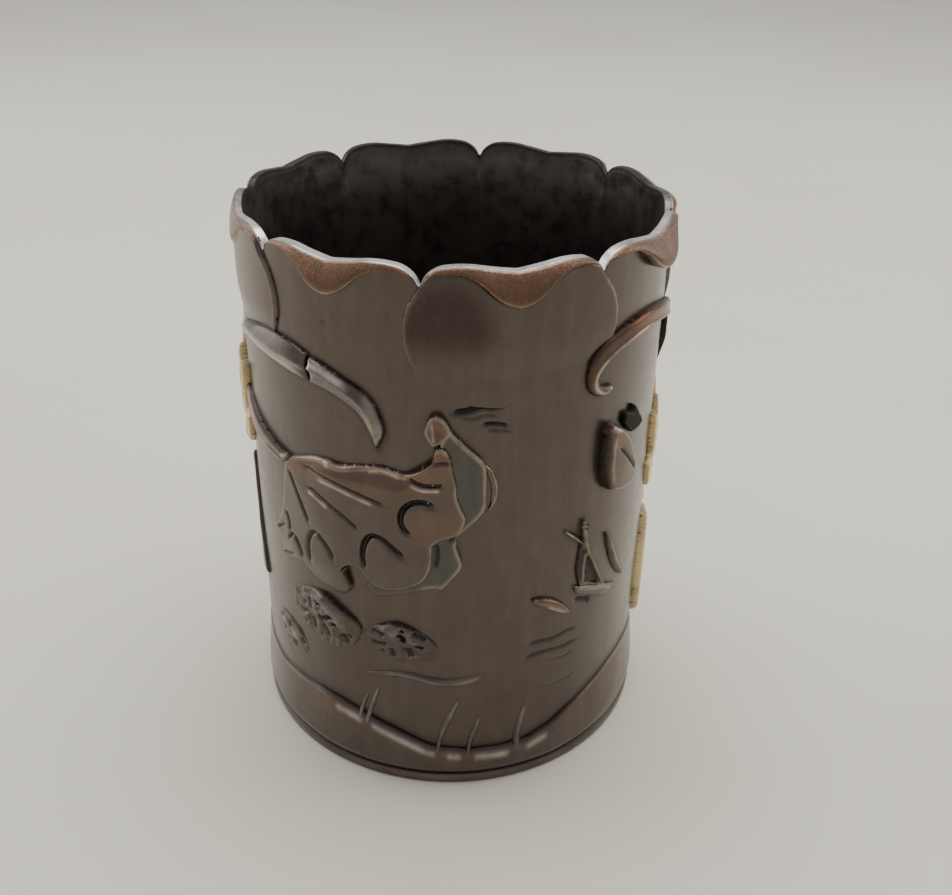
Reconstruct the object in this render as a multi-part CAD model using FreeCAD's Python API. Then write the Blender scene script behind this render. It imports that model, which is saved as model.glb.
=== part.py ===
import FreeCAD, Part
import math
import os

# Brush holder pot: a metal cylinder with a lobed rim of lapped lotus petals, a wavy pond bank
# round its foot, and lotus-pond reliefs brazed to the wall. Millimetres, +Z up, -Y is the front.

# ---------------------------------------------------------------- driving dimensions
HEIGHT = 114.0          # to the tops of the rim
WALL_R = 42.0           # outside radius of the wall
WALL_T = 2.6            # wall thickness, seen as the flat top of the rim
BASE_T = 3.0            # base plate
BASE_LIFT = 0.6         # the base plate's underside stands clear of the table
BASE_SEAT = 1.2         # width of the shoulder that the base plate is soldered up against
BASE_GAP = 0.05         # radial solder gap round the base plate
FOOT_H = 2.6            # foot ring
FOOT_OUT = 1.1
BANK_GROOVE = 0.6       # groove between the foot ring and the pond bank
BANK_OUT = 1.5          # how far the pond bank stands out of the wall
PETALS = 8              # rim petals, every second one lapped over its neighbours
PETAL_AZ = 14.7         # azimuth of the petal at the front, degrees from -Y towards +X
NOTCH_DROP = 3.7        # depth of the notch between two petals
PETAL_LAP = 0.7         # thickness of a lapped petal
LIP_OUT = 2.4           # roll of a petal's lip: how far out, and how far down
LIP_DROP = 5.6
LIP_SPAN = 0.92         # share of the petal's width that the lip runs along
ENGRAVE = 0.45          # depth of the lines cut in the wall and on the reliefs

# The outlines below are drawn on the unrolled wall as (u, z): u along the wall from the front,
# z up. They were drawn for this radius and height, and follow the driving dimensions from there.
GRID_R = 42.0
GRID_H = 114.0

Z_AXIS = FreeCAD.Vector(0, 0, 1)
ORIGIN = FreeCAD.Vector(0, 0, 0)
PETAL_STEP = 360.0 / PETALS
INNER_R = WALL_R - WALL_T


def up(z):
    return z * HEIGHT / GRID_H


def polar(r, az, z):
    """The point at radius r, azimuth az (degrees from -Y towards +X) and height z."""
    a = math.radians(az)
    return FreeCAD.Vector(r * math.sin(a), -r * math.cos(a), z)


def spline(points):
    if len(points) == 2:
        return Part.makeLine(points[0], points[1])
    curve = Part.BSplineCurve()
    curve.interpolate(points)
    return curve.toShape()


def tube(r_in, r_out, z0, z1):
    outer = Part.makeCylinder(r_out, z1 - z0, FreeCAD.Vector(0, 0, z0))
    return outer.cut(Part.makeCylinder(r_in, z1 - z0, FreeCAD.Vector(0, 0, z0)))


def turned(profile):
    """A ring turned about the pot's axis from a closed list of (r, z)."""
    points = [FreeCAD.Vector(r, 0, z) for r, z in profile]
    face = Part.Face(Part.makePolygon(points + points[:1]))
    return face.revolve(ORIGIN, Z_AXIS, 360)


# ---------------------------------------------------------------- reliefs on the wall
def closed(*runs):
    """A closed outline: each run is a smooth curve that starts where the last one ended."""
    outline = []
    start = runs[-1][-1]
    for run in runs:
        outline.append([start] + [point for point in run if point != start])
        start = run[-1]
    return outline


def band(line, width, blunt=0.0):
    """The outline of a blade along a line: widest in the middle, blunt is its share at the ends."""
    left, right = [], []
    last = len(line) - 1
    for i, (u, z) in enumerate(line):
        u0, z0 = line[max(i - 1, 0)]
        u1, z1 = line[min(i + 1, last)]
        run = math.hypot(u1 - u0, z1 - z0)
        swell = blunt + (1 - blunt) * math.sin(math.pi * i / last) ** 0.6
        half = width / 2 * max(swell, 0.06)
        du, dz = -(z1 - z0) / run * half, (u1 - u0) / run * half
        left.append((u + du, z + dz))
        right.append((u - du, z - dz))
    right.reverse()
    return closed(left, right[:1], right, left[:1])


def ellipse(u, z, half_u, half_z, turn=0.0, sides=12):
    """An oval outline as one smooth closed run."""
    c, s = math.cos(math.radians(turn)), math.sin(math.radians(turn))
    points = []
    for i in range(sides + 1):
        a = 2 * math.pi * i / sides
        x, y = half_u * math.cos(a), half_z * math.sin(a)
        points.append((u + x * c - y * s, z + x * s + y * c))
    half = sides // 2
    return closed(points[1:half + 1], points[half + 1:])


def petal_outline(u, z, length, width, lean):
    """A pointed petal that grows from (u, z); lean is degrees from upright, towards +u."""
    a = math.radians(lean)
    shape = [(0.0, 0.10), (0.22, 0.36), (0.50, 0.50), (0.78, 0.34), (1.0, 0.02)]
    right = [(u + length * t * math.sin(a) + width * w * math.cos(a),
              z + length * t * math.cos(a) - width * w * math.sin(a)) for t, w in shape]
    left = [(u + length * t * math.sin(a) - width * w * math.cos(a),
             z + length * t * math.cos(a) + width * w * math.sin(a)) for t, w in reversed(shape)]
    return closed(right, left[:1], left, right[:1])


def prism(outline):
    """The outline pushed straight through the near side of the pot, square to its own middle."""
    us = [u for run in outline for u, _ in run]
    middle = (min(us) + max(us)) / 2
    edges = []
    for run in outline:
        points = [FreeCAD.Vector(WALL_R * math.sin((u - middle) / GRID_R), -2 * WALL_R, up(z))
                  for u, z in run]
        edges.append(spline(points))
    face = Part.Face(Part.Wire(edges))
    solid = face.extrude(FreeCAD.Vector(0, 2 * WALL_R, 0))
    solid.rotate(ORIGIN, Z_AXIS, math.degrees(middle / GRID_R))
    return solid


def relief(outline, depth):
    """A piece of even thickness lying on the wall."""
    return prism(outline).common(tube(WALL_R, WALL_R + depth, 0, HEIGHT + 10))


def engraved(shape, lines, surface, depth=ENGRAVE):
    """Cuts each (line, width) into a surface that stands `surface` out of the wall."""
    ring = tube(WALL_R + surface - depth, WALL_R + surface + 5, 0, HEIGHT + 10)
    for line, width in lines:
        shape = shape.cut(prism(band(line, width)).common(ring))
    return shape


def softened(shape, depth, size):
    """Chamfers the front edges of a relief, those that lie wholly on its front face."""
    front = []
    for edge in shape.Edges:
        first, last = edge.ParameterRange
        radii = [math.hypot(p.x, p.y) for p in
                 (edge.valueAt(first + (last - first) * t) for t in (0.1, 0.5, 0.9))]
        if min(radii) > WALL_R + depth - 0.02:
            front.append(edge)
    return shape.makeChamfer(size, front)


parts = {}


def save(name, shape):
    """Keeps a finished piece; crumbs left by a cut are dropped."""
    solids = [s for s in shape.Solids if s.Volume > 0.8]
    shape = solids[0] if len(solids) == 1 else Part.makeCompound(solids)
    parts[name] = shape
    return shape


def lay(name, shape, behind=()):
    """Keeps a relief, cut back where it passes behind the pieces named."""
    for other in behind:
        shape = shape.cut(parts[other])
    return save(name, shape)


# ---------------------------------------------------------------- rim
# Height of the rim across one petal, from notch (-1) to notch (+1), below the full height.
RIM_HALF = [(0, -1.1), (0.28, -0.5), (0.45, -0.1), (0.57, 0), (0.69, -0.1), (0.82, -0.55),
            (0.94, -1.9), (1, -NOTCH_DROP)]
RIM_LINE = [(-t, drop) for t, drop in reversed(RIM_HALF[1:])] + RIM_HALF


def rim_height(t):
    for (t0, d0), (t1, d1) in zip(RIM_LINE, RIM_LINE[1:]):
        if t <= t1:
            return HEIGHT + d0 + (d1 - d0) * (t - t0) / (t1 - t0)
    return HEIGHT


def above_rim():
    """Everything above the lobed rim, one sector for each petal."""
    sectors = []
    for i in range(PETALS):
        az = PETAL_AZ + PETAL_STEP * i
        inner, outer = [spline([polar(r, az + t * PETAL_STEP / 2, HEIGHT + drop)
                                for t, drop in RIM_LINE])
                        for r in (INNER_R - 4, WALL_R + 8)]
        sectors.append(Part.makeRuledSurface(inner, outer).extrude(FreeCAD.Vector(0, 0, 20)))
    return sectors


# How the lip's drop falls away from the middle of its petal (0) to its ends (1).
LIP_FALL = [(0, 1.0), (0.14, 0.92), (0.28, 0.68), (0.42, 0.40), (0.56, 0.23), (0.75, 0.15),
            (1, 0.12)]


def lip(az):
    """A petal's lip, rolled out and down in the middle and narrow towards both notches."""
    sections = []
    for t, fall in [(-t, fall) for t, fall in reversed(LIP_FALL[1:])] + LIP_FALL:
        t *= LIP_SPAN
        out = LIP_OUT * max(fall ** 0.62, 0.28)
        drop = LIP_DROP * fall
        top = rim_height(t) - 0.30
        a = az + t * PETAL_STEP / 2
        profile = [(-1.0, 0.0), (0.12, 0.0), (0.38, -0.26), (0.84, -0.78), (1.0, -0.94),
                   (0.6, -1.0), (-1.0, -1.0)]
        points = [polar(WALL_R + (out * x if x > 0 else x), a, top + drop * y) for x, y in profile]
        points.append(points[0])
        sections.append(Part.makePolygon(points))
    roll = Part.makeLoft(sections, True, True)
    return roll.cut(Part.makeCylinder(WALL_R, HEIGHT + 20))


def lapped_petal(az):
    """A thin plate over the wall whose edges lap the two petals beside it; it thins downwards."""
    half = GRID_R * math.radians(PETAL_STEP / 2)
    u0 = GRID_R * math.radians(az)
    right = [(half, 111), (half + 2.6, 107), (half + 4.0, 103), (half + 3.4, 99), (half, 94)]
    foot = [(half * 0.5, 90.2), (0, 88.8), (-half * 0.5, 89.2), (-half, 92.5)]
    left = [(-half - 2.4, 98), (-half - 2.9, 103), (-half - 2.2, 107), (-half, 111)]
    outline = closed([(u0 + u, z) for u, z in right], [(u0 + u, z) for u, z in foot + left],
                     [(u0 - half, 118)], [(u0 + half, 118)])
    thinning = turned([(WALL_R, up(87)), (WALL_R + 0.12, up(87)), (WALL_R + PETAL_LAP, up(101)),
                       (WALL_R + PETAL_LAP, HEIGHT + 8), (WALL_R, HEIGHT + 8)])
    return prism(outline).common(thinning)


rim_sky = above_rim()
for i in range(PETALS):
    save("lip_%d" % (i + 1), lip(PETAL_AZ + PETAL_STEP * i))

# ---------------------------------------------------------------- wall, base, foot and bank
wall = tube(INNER_R, WALL_R, 0, HEIGHT + 5)
wall = wall.cut(Part.makeCylinder(INNER_R + BASE_SEAT, BASE_LIFT + BASE_T))
for sector in rim_sky:
    wall = wall.cut(sector)
RIPPLES = [
    ([(26.2, 41.8), (28.5, 40.7), (31, 39.6)], 1.2), ([(15, 34), (20, 34.4), (27, 34.2)], 0.9), ([(15, 31), (19, 31.5), (24, 30.5), (28, 31)], 0.9),
    ([(0, 88), (5, 89), (9.5, 89.3)], 1.0), ([(5, 85.3), (7.5, 85.3), (10, 84.6)], 0.8),
    ([(18, 22), (23, 21.6), (28, 22.3)], 0.7), ([(92, 34), (98, 34.6), (105, 34)], 0.9),
    ([(96, 31), (102, 30.6), (109, 31)], 0.9), ([(-112, 33), (-105, 33.6), (-97, 33)], 0.9),
]
save("wall", engraved(wall, RIPPLES, 0.0))
save("base_plate", Part.makeCylinder(INNER_R + BASE_SEAT - BASE_GAP, BASE_T,
                                     FreeCAD.Vector(0, 0, BASE_LIFT)))
save("foot_ring", turned([
    (WALL_R, 0), (WALL_R + FOOT_OUT * 0.6, 0), (WALL_R + FOOT_OUT, FOOT_H * 0.25),
    (WALL_R + FOOT_OUT, FOOT_H * 0.75), (WALL_R + FOOT_OUT * 0.6, FOOT_H), (WALL_R, FOOT_H)]))

BANK_TOP = [
    (-132, 14.5), (-121, 12), (-110, 10.2), (-99, 10.8), (-88, 13.5), (-77, 16.4), (-66, 17.4),
    (-55, 16.4), (-45, 15.6), (-35, 16.6), (-26, 17), (-18, 15.6), (-10, 12.9), (-4, 10.2),
    (3, 9.1), (13, 9), (20, 10.6), (28, 14.3), (36, 17.3), (45, 19), (56, 18), (67, 14.4),
    (78, 11), (88, 10.2), (98, 12), (108, 15.2), (119, 16.6), (126, 16)]


def bank_line(r, lift):
    points = [polar(r, math.degrees(u / GRID_R), up(z) + lift) for u, z in BANK_TOP]
    curve = Part.BSplineCurve()
    curve.interpolate(points, True)
    return curve.toShape()


bank_z = FOOT_H + BANK_GROOVE
bank = turned([(WALL_R, bank_z), (WALL_R + BANK_OUT * 0.7, bank_z), (WALL_R + BANK_OUT, bank_z + 1.6),
               (WALL_R + BANK_OUT, up(24)), (WALL_R, up(24))])
water = Part.makeRuledSurface(bank_line(WALL_R - 3, 1.0), bank_line(WALL_R + 6, -1.5))
save("bank", bank.cut(water.extrude(FreeCAD.Vector(0, 0, 40))))

# ---------------------------------------------------------------- reliefs, nearest first
# Drooping reed at the upper left, in two lengths that meet at its joint.
REED_OUT = 2.0
reed_stalk = closed(
    [(-35, 96.6), (-31, 96), (-27.2, 94.9)], [(-27.2, 89.6)],
    [(-31, 90), (-35, 90.5), (-40, 90.8), (-46, 90.8), (-52, 89.6), (-57, 87)],
    [(-52, 92.8), (-46, 95), (-40, 96.4), (-35, 96.6)])
reed_tip = closed(
    [(-20.6, 92.6), (-16.8, 91.0), (-14.4, 89.2), (-12.8, 86.5), (-11.9, 83.0), (-13.3, 79.2)],
    [(-14.8, 82.6), (-16.6, 85.6), (-19.6, 87.7), (-23.2, 89.0), (-26.9, 89.5)],
    [(-26.9, 94.6)], [(-24, 93.9), (-20.6, 92.6)])
lay("reed_left_stalk", softened(relief(reed_stalk, REED_OUT), REED_OUT, 0.9))
lay("reed_left_tip", softened(relief(reed_tip, REED_OUT), REED_OUT, 0.9), ["reed_left_stalk"])

# Curved reed with a hooked end at the upper right.
reed_right = closed(
    [(24.9, 91.2), (25.5, 94.2), (27.8, 96.8), (31.4, 98.2), (35.4, 99.4), (40, 99.9),
     (46, 99.4), (52, 98.0), (58, 96.2), (65.5, 93.4)],
    [(64.8, 90.2)],
    [(57, 92.9), (50, 94.8), (44, 96.0), (38, 96.0), (32.6, 94.8), (29.4, 93.0), (27.6, 90.9),
     (28.0, 89.2)],
    [(29.4, 88.6), (31.0, 88.5)], [(31.4, 87.4), (29.6, 86.7), (27.2, 87.1), (25.4, 88.8),
                                   (24.9, 91.2)])
lay("reed_right", relief(reed_right, REED_OUT))
lay("reed_right_tip", relief(closed([(60.2, 92), (64.8, 90.8)], [(66.2, 86.4), (63.6, 80.4)],
                                    [(60.9, 81.6), (59.4, 87)], [(60.2, 92)]), 1.4), ["reed_right"])

# Large lotus leaf seen from the side, its folded edge in lobes, and the second leaf behind it.
LEAF_OUT = 2.5
LEAF_BACK_OUT = 1.3
leaf_front = closed(
    [(-33.4, 71.9), (-30, 73.4), (-26, 74.5), (-23.5, 74.7), (-21, 74.6), (-17, 75.5),
     (-12.6, 76.1), (-8.6, 75.4), (-5.6, 76.9), (-3.5, 78.5)],
    [(-3.2, 80.9), (-2.2, 81.7), (-1.0, 81.2), (0.0, 79.4)],
    [(0.4, 76.5), (0.9, 74.2), (1.0, 71.6), (1.7, 69.2), (2.5, 67.1), (1.9, 64.6), (0.4, 63.0),
     (-1.9, 62.2), (-3.3, 60.8)],
    [(-3.4, 57.2), (-4.0, 54.5), (-5.3, 52.5), (-8, 50.6), (-12.0, 49.4), (-14.8, 50.1),
     (-16.4, 52.0), (-17.3, 53.3)],
    [(-19.4, 53.1), (-20.9, 51.5), (-20.4, 49.4)],
    [(-19.7, 47.2), (-20.9, 45.6), (-23.2, 45.1), (-26, 45.9), (-28.6, 47.0), (-31.4, 48.8)],
    [(-33.5, 48.4), (-36, 47.3), (-38.8, 47), (-39, 50), (-42.2, 52.3)],
    [(-40, 54.4), (-38, 58.4), (-37, 62.4), (-36.3, 66.4), (-35.4, 69.7)])
fold_lines = [
    ([(-2.6, 69.3), (-5, 70.2), (-7.2, 69.7), (-8.7, 67.9), (-9, 65.8), (-8.2, 63.9)], 1.1),
    ([(-8.0, 57.4), (-10.3, 59.4), (-12.5, 61.2), (-14.4, 61.5), (-15.9, 59.7), (-16.5, 56.3),
      (-15.9, 54)], 1.1),
    ([(-22.4, 52.9), (-23.8, 55.6), (-26.2, 57.8), (-28.1, 57.3), (-29.2, 54.2), (-28.8, 50.4)], 1.1),
    ([(-31.2, 50.4), (-32.1, 52.5), (-34.2, 54), (-36, 51.8)], 0.9),
    ([(-7.7, 74.4), (-6.1, 73.8), (-4.2, 73.5), (-1.4, 73.8)], 0.8),
    ([(-30.1, 71.8), (-26.1, 71.4), (-22.1, 71.1), (-17.8, 70.3), (-13.8, 69.3)], 0.7),
    ([(-28.5, 67.9), (-26.6, 67.4), (-23.2, 66), (-20.0, 64.5), (-16.6, 62.1)], 0.7),
    ([(-34.1, 69.3), (-32.9, 67.2), (-30.8, 63.4), (-28.4, 59.1)], 0.7),
]
lay("leaf_front", engraved(relief(leaf_front, LEAF_OUT), fold_lines, LEAF_OUT, 0.8))
leaf_back = closed(
    [(-0.8, 84.6), (0.8, 83.3), (2.4, 81.5), (4.4, 79.5), (5.9, 77.4), (6.1, 73.1), (6.0, 68.9),
     (4.7, 66.6), (2.7, 64.5), (1.1, 62.8)],
    [(0.9, 60.8), (1.2, 59.2), (2.0, 56.3), (0.7, 53.8), (-1.6, 50.8)],
    [(-3.6, 50.9), (-6.5, 49.2), (-9.5, 48.3), (-12, 47.4), (-14.4, 47), (-16.6, 48.6)],
    [(-14, 55), (-6, 66), (-2.6, 79.5), (-2.2, 82.4)])
leaf_curl = closed([(-4.4, 83), (-4.9, 84.6), (-4.1, 86.9), (-2.7, 87.6), (-1.2, 86.6), (0.1, 84.2)],
                   [(-0.8, 83.2), (-2.2, 82.0), (-3.5, 81.6)])
lay("leaf_curl", relief(leaf_curl, 1.6), ["leaf_front"])
lay("leaf_back", relief(leaf_back, LEAF_BACK_OUT), ["leaf_front", "leaf_curl"])
crescent = closed([(7.3, 75.8), (8.3, 72.6), (8.0, 69.8), (6.3, 67)],
                  [(6.9, 70), (6.7, 73.5), (4.9, 78.3)])
lay("leaf_rim", relief(crescent, 0.9), ["leaf_back"])
stem = closed([(-39, 72.5), (-43, 73.6), (-49, 75.6), (-56, 79.4)], [(-56.8, 77.4)],
              [(-49.5, 73), (-44, 70.6), (-39, 69.9), (-35.9, 69.6)])
lay("leaf_stem", softened(relief(stem, 1.6), 1.6, 0.5), ["leaf_front"])

# Bud at the right with its sepal, and the crossed reeds below it.
bud = closed([(29.9, 75.4), (30.0, 71.1), (30.5, 68.2), (31.4, 66.2)],
             [(33.4, 65.4), (35.8, 65.1), (37.9, 65.5), (39.1, 67.2), (39.1, 69.4), (37.9, 72.8),
              (35.8, 76.9), (33.2, 79.6), (31.2, 80.2), (30.2, 78.6), (29.9, 75.4)])
BUD_OUT = 2.8
lay("bud", engraved(relief(bud, BUD_OUT), [([(32.4, 75.8), (34.7, 73.1), (37.1, 70.2), (38.4, 68.2)], 0.8)],
                    BUD_OUT, 0.8))
sepal = closed([(39.3, 81.3)], [(38.7, 80.1)], [(37.4, 80.6), (36.1, 80.6)], [(35.6, 78.7)],
               [(37, 76.9), (38.8, 75.5)], [(41, 75.4), (43.3, 76.0)], [(42.4, 77.6), (41.1, 78.9)])
lay("bud_sepal", relief(sepal, 1.2), ["bud"])
blade = closed([(27.2, 57.5), (28.1, 53.7), (29.9, 50), (31.8, 46.2), (33.5, 43.0)],
               [(32.2, 42.9), (29.4, 44.1), (26.9, 44.9)],
               [(26.0, 48.6), (26.2, 52.2), (26.6, 55.6), (26.9, 59.2), (27.5, 61.2)])
CROSS_OUT = 1.6
lay("cross_reed_1", relief(blade, CROSS_OUT))
lay("cross_reed_2", relief(band([(22.6, 59.4), (25.1, 57.2), (27.2, 55.2)], 1.5, 0.3),
                           CROSS_OUT - 0.6), ["cross_reed_1"])
strip = closed([(29.3, 44.3), (33.5, 42.6), (38.9, 39.8)],
               [(35, 39.0), (30.5, 41.2), (26.4, 43.3), (25.4, 45.6)])
lay("cross_reed_3", relief(strip, CROSS_OUT - 0.6), ["cross_reed_1"])
lay("cross_reed_4", relief(band([(34.2, 54.4), (36.1, 49.8), (38.1, 45.6), (41, 41)], 2.4, 0.3),
                           CROSS_OUT - 0.4), ["cross_reed_3"])
lay("small_leaf", relief(band([(16.0, 45.2), (18.7, 44.1), (21.6, 42.2), (24.7, 39.7)], 2.5), 1.2),
    ["cross_reed_3"])


def tuft(outline, pits, out):
    """A cushion of small leaves with the pits between them cut into it."""
    return engraved(relief(closed(outline[1:], outline[:1]), out), pits, out, out * 0.5)


lay("rosette_1", tuft(
    [(-37.2, 36.2), (-36.8, 38.8), (-35.1, 40.8), (-33, 41.7), (-30.1, 42.7), (-26.8, 43.0),
     (-24.3, 42.0), (-21.2, 40.4), (-19, 39.0), (-18.0, 37.2), (-18.6, 35.2), (-19.4, 33.4),
     (-21.6, 31.2), (-24.6, 30.2), (-28.3, 30.0), (-31.4, 30.9), (-34.9, 33.4)],
    [([(-31.8, 39.7), (-30.9, 38.6), (-30.4, 37.0)], 1.0),
     ([(-30.7, 35.3), (-30.1, 33.8), (-30.5, 32.2)], 1.0), ([(-26.9, 35.6), (-26.3, 34), (-26.3, 32.1)], 1.0),
     ([(-28.2, 37.5), (-27.3, 36.7), (-25.6, 37.8), (-24.2, 38.6)], 0.9),
     ([(-22.8, 34.8), (-21.8, 33.6), (-21.9, 32.3)], 1.0), ([(-34.9, 35.6), (-33.4, 35.4), (-32, 36.2)], 0.8)],
    2.1))
lay("rosette_2", tuft(
    [(-17.9, 37), (-16.4, 38.6), (-14.3, 39.8), (-10.8, 41.0), (-7.0, 39.9), (-3.8, 37.7),
     (-2.4, 35.2), (-3.6, 32.8), (-6.8, 32.1), (-10.5, 31.4), (-13.6, 32.4), (-16.2, 34)],
    [([(-16.2, 38), (-14.6, 38), (-13, 37.6)], 0.8), ([(-16.4, 35), (-14.4, 35.2), (-12.6, 35.4)], 0.8),
     ([(-11.9, 34.7), (-11.6, 33.6), (-11.6, 32.6)], 1.0), ([(-8.9, 35.6), (-8.2, 34.4), (-7.6, 33.1)], 1.2),
     ([(-10.3, 39), (-9.2, 37.9), (-9.6, 36.9)], 0.8), ([(-7.6, 39.2), (-6.4, 38.4), (-5, 37.6)], 0.7)],
    1.9))
lay("rosette_3", tuft(
    [(-45.2, 27.4), (-43.4, 29.6), (-39.6, 30), (-35.6, 28.8), (-33.2, 26.2), (-33.6, 23.6),
     (-37, 22.2), (-41, 22), (-44.2, 24)],
    [([(-39.9, 28.6), (-39.4, 28), (-39, 27.2)], 0.8), ([(-42.4, 26.6), (-42, 25.8), (-41.4, 25.2)], 0.8),
     ([(-38.4, 24.8), (-37.8, 24.2), (-37, 23.9)], 0.8)], 1.3))
ledge = closed([(-13, 28.2), (-9, 29.1), (-4, 28.4), (0.5, 28), (6.3, 28.9)],
               [(5.8, 26.6), (0, 25.9), (-5.5, 26.6), (-9, 27.5), (-13.5, 26.8), (-18.4, 26.6)])
lay("ledge", softened(relief(ledge, 1.0), 1.0, 0.25), ["rosette_2"])

# Young shoots that stand in front of the bank.
SHOOTS = [
    ([(-18.6, 12.2), (-18.8, 16), (-18.2, 18.5), (-17.2, 20.8)], 1.4),
    ([(-17.6, 11.6), (-16.9, 16.5), (-15.9, 20), (-14.6, 23.8)], 1.7),
    ([(-2.8, 7.6), (-1.7, 13.2), (0, 18), (1.9, 22.8)], 1.9),
    ([(3.4, 6.8), (4.3, 11.5), (5.2, 14.5), (6, 17.8)], 1.7),
    ([(13.6, 5.6), (14.2, 11), (14.9, 15), (15.7, 18.8)], 2.4),
    ([(104, 11), (105, 17), (106.6, 21), (109, 25)], 1.9),
    ([(-101, 8), (-102, 13), (-103.6, 17), (-106, 21)], 1.9),
]
for i, (line, width) in enumerate(SHOOTS):
    lay("shoot_%d" % (i + 1), relief(band(line, width, 0.25), BANK_OUT + 0.5), ["bank"] +
        (["shoot_1"] if i == 1 else []))


# Gilt lotus flowers at the two sides.
def flower(u, z, size, out):
    """A lotus flower opening upwards: petals in three rows, the front row thickest."""
    shape = None
    for lean, length, width, share in [
            (-62, 0.72, 0.34, 0.55), (62, 0.72, 0.34, 0.55), (-38, 0.92, 0.38, 0.7),
            (38, 0.92, 0.38, 0.7), (0, 1.0, 0.40, 0.7), (-19, 0.80, 0.40, 0.85),
            (19, 0.80, 0.40, 0.85), (0, 0.6, 0.42, 1.0)]:
        piece = relief(petal_outline(u, z, size * length, size * width, lean), out * share)
        shape = piece if shape is None else shape.fuse(piece)
    return shape.removeSplitter()


GILT_OUT = 2.4
lay("flower_left", flower(-70, 62, 28.5, GILT_OUT), ["leaf_stem"])
lay("flower_left_stem", relief(band([(-68.8, 18), (-67, 32), (-67.4, 46), (-70, 61.4)], 2.2, 0.8),
                               GILT_OUT * 0.6), ["flower_left", "bank"])
leaf_left = closed([(-58.4, 60.4), (-56.8, 54), (-55, 47), (-53, 40.4), (-50.6, 33.8)],
                   [(-56, 32.6), (-62, 36)], [(-66, 43), (-66.4, 51), (-62.6, 58), (-58.4, 60.4)])
lay("leaf_left", relief(leaf_left, 1.7), ["flower_left_stem", "leaf_front"])
lay("flower_right", flower(71, 51, 28, GILT_OUT))
lay("flower_right_leaf", softened(relief(closed(
    [(60, 44), (57.4, 37), (56.6, 28), (58.4, 20), (63.5, 14.5)],
    [(72, 18), (79, 28), (80.5, 38), (77.4, 45.5)], [(73.5, 43), (69.8, 48.6)],
    [(66.4, 43.2), (60, 44)]), 2.0), 2.0, 0.4), ["flower_right", "bank"])

# The back: a second leaf on its stem, a seed pod, two reeds and a tuft.
REAR = 132.0
leaf_rear = closed(
    [(REAR - 17, 66), (REAR - 12, 71.5), (REAR - 4, 74.5), (REAR + 5, 74), (REAR + 13, 70),
     (REAR + 18, 63)],
    [(REAR + 20.5, 56), (REAR + 18, 49.5), (REAR + 12.5, 51.5)],
    [(REAR + 10, 45.5), (REAR + 3, 43.6), (REAR - 1.5, 49)],
    [(REAR - 6, 44), (REAR - 13, 45.2), (REAR - 14.6, 51.4)],
    [(REAR - 20.4, 51), (REAR - 21.5, 58.5), (REAR - 17, 66)])
rear_lines = [([(REAR + 1 + 4 * math.sin(a), 62 + 3 * math.cos(a)),
                (REAR + 1 + 9.5 * math.sin(a), 61 + 7 * math.cos(a)),
                (REAR + 1 + 14.5 * math.sin(a), 60 + 10.5 * math.cos(a))], 0.8)
              for a in (-2.6, -1.9, -1.2, -0.5, 0.3, 1.1, 1.8, 2.5)]
lay("leaf_rear", engraved(relief(leaf_rear, LEAF_OUT), rear_lines, LEAF_OUT, 0.7))
lay("leaf_rear_stem", relief(band([(REAR + 2, 16), (REAR + 4.5, 26), (REAR + 4, 36), (REAR + 2, 48)],
                                  2.3, 0.8), 1.4), ["leaf_rear", "bank"])
pod_u = 101.0
pod = closed([(pod_u - 7.5, 86.5), (pod_u, 88.4), (pod_u + 7.5, 86.5)],
             [(pod_u + 6.4, 80), (pod_u + 1.6, 74.6)], [(pod_u - 1.6, 74.6)],
             [(pod_u - 6.4, 80), (pod_u - 7.5, 86.5)])
pod_shape = softened(relief(pod, 2.1), 2.1, 0.6)
for du in (-4.2, 0, 4.2):
    seed = prism(ellipse(pod_u + du, 84.6, 1.2, 0.9)).common(tube(WALL_R + 1.5, WALL_R + 9, 0, HEIGHT))
    pod_shape = pod_shape.cut(seed)
lay("seed_pod", pod_shape)
lay("seed_pod_stem", relief(band([(pod_u - 3, 13), (pod_u + 1.5, 34), (pod_u + 2, 55), (pod_u, 74.4)],
                                 1.9, 0.9), 1.2), ["seed_pod", "bank", "leaf_rear"])
rear_reed = band([(REAR - 30, 93), (REAR - 20, 97), (REAR - 8, 97.6), (REAR + 4, 95),
                  (REAR + 14, 90), (REAR + 21, 83)], 4.4, 0.1)
lay("reed_rear", relief(rear_reed, 1.8), ["seed_pod"])
lay("reed_rear_low", relief(band([(-98, 17), (-97, 32), (-93, 46), (-86, 57)], 3.6, 0.1), 1.5),
    ["bank", "flower_left"])
lay("rosette_rear", tuft(
    [(111.6, 33), (114.4, 35.8), (118.6, 37), (123, 36), (126, 33), (125.4, 29.2), (121.6, 26.6),
     (116.6, 26.2), (112.8, 28.4)],
    [([(114.2, 33.6), (115, 33), (115.8, 32.6)], 1.0), ([(117.6, 35.4), (118, 34.4), (118.2, 33.4)], 1.0),
     ([(124.4, 31.4), (123.2, 31.4), (122.2, 31.2)], 1.0), ([(117, 28), (117.3, 29), (117.8, 29.8)], 1.0)],
    1.9), ["leaf_rear_stem", "seed_pod_stem"])

# The lapped petals are cut back round the lips and the reeds that lie over them.
for i in range(0, PETALS, 2):
    plate = lapped_petal(PETAL_AZ + PETAL_STEP * i)
    for sector in rim_sky:
        plate = plate.cut(sector)
    near = ["lip_%d" % ((i + k) % PETALS + 1) for k in (-1, 0, 1)]
    reeds = {0: ["reed_right"], 2: ["seed_pod"], 4: ["reed_rear", "seed_pod"],
             6: ["reed_left_stalk", "reed_left_tip"]}
    lay("petal_%d" % (i // 2 + 1), plate, near + reeds.get(i, []))

for name, shape in parts.items():
    shape.exportStep("parts/%s.step" % name)
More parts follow.
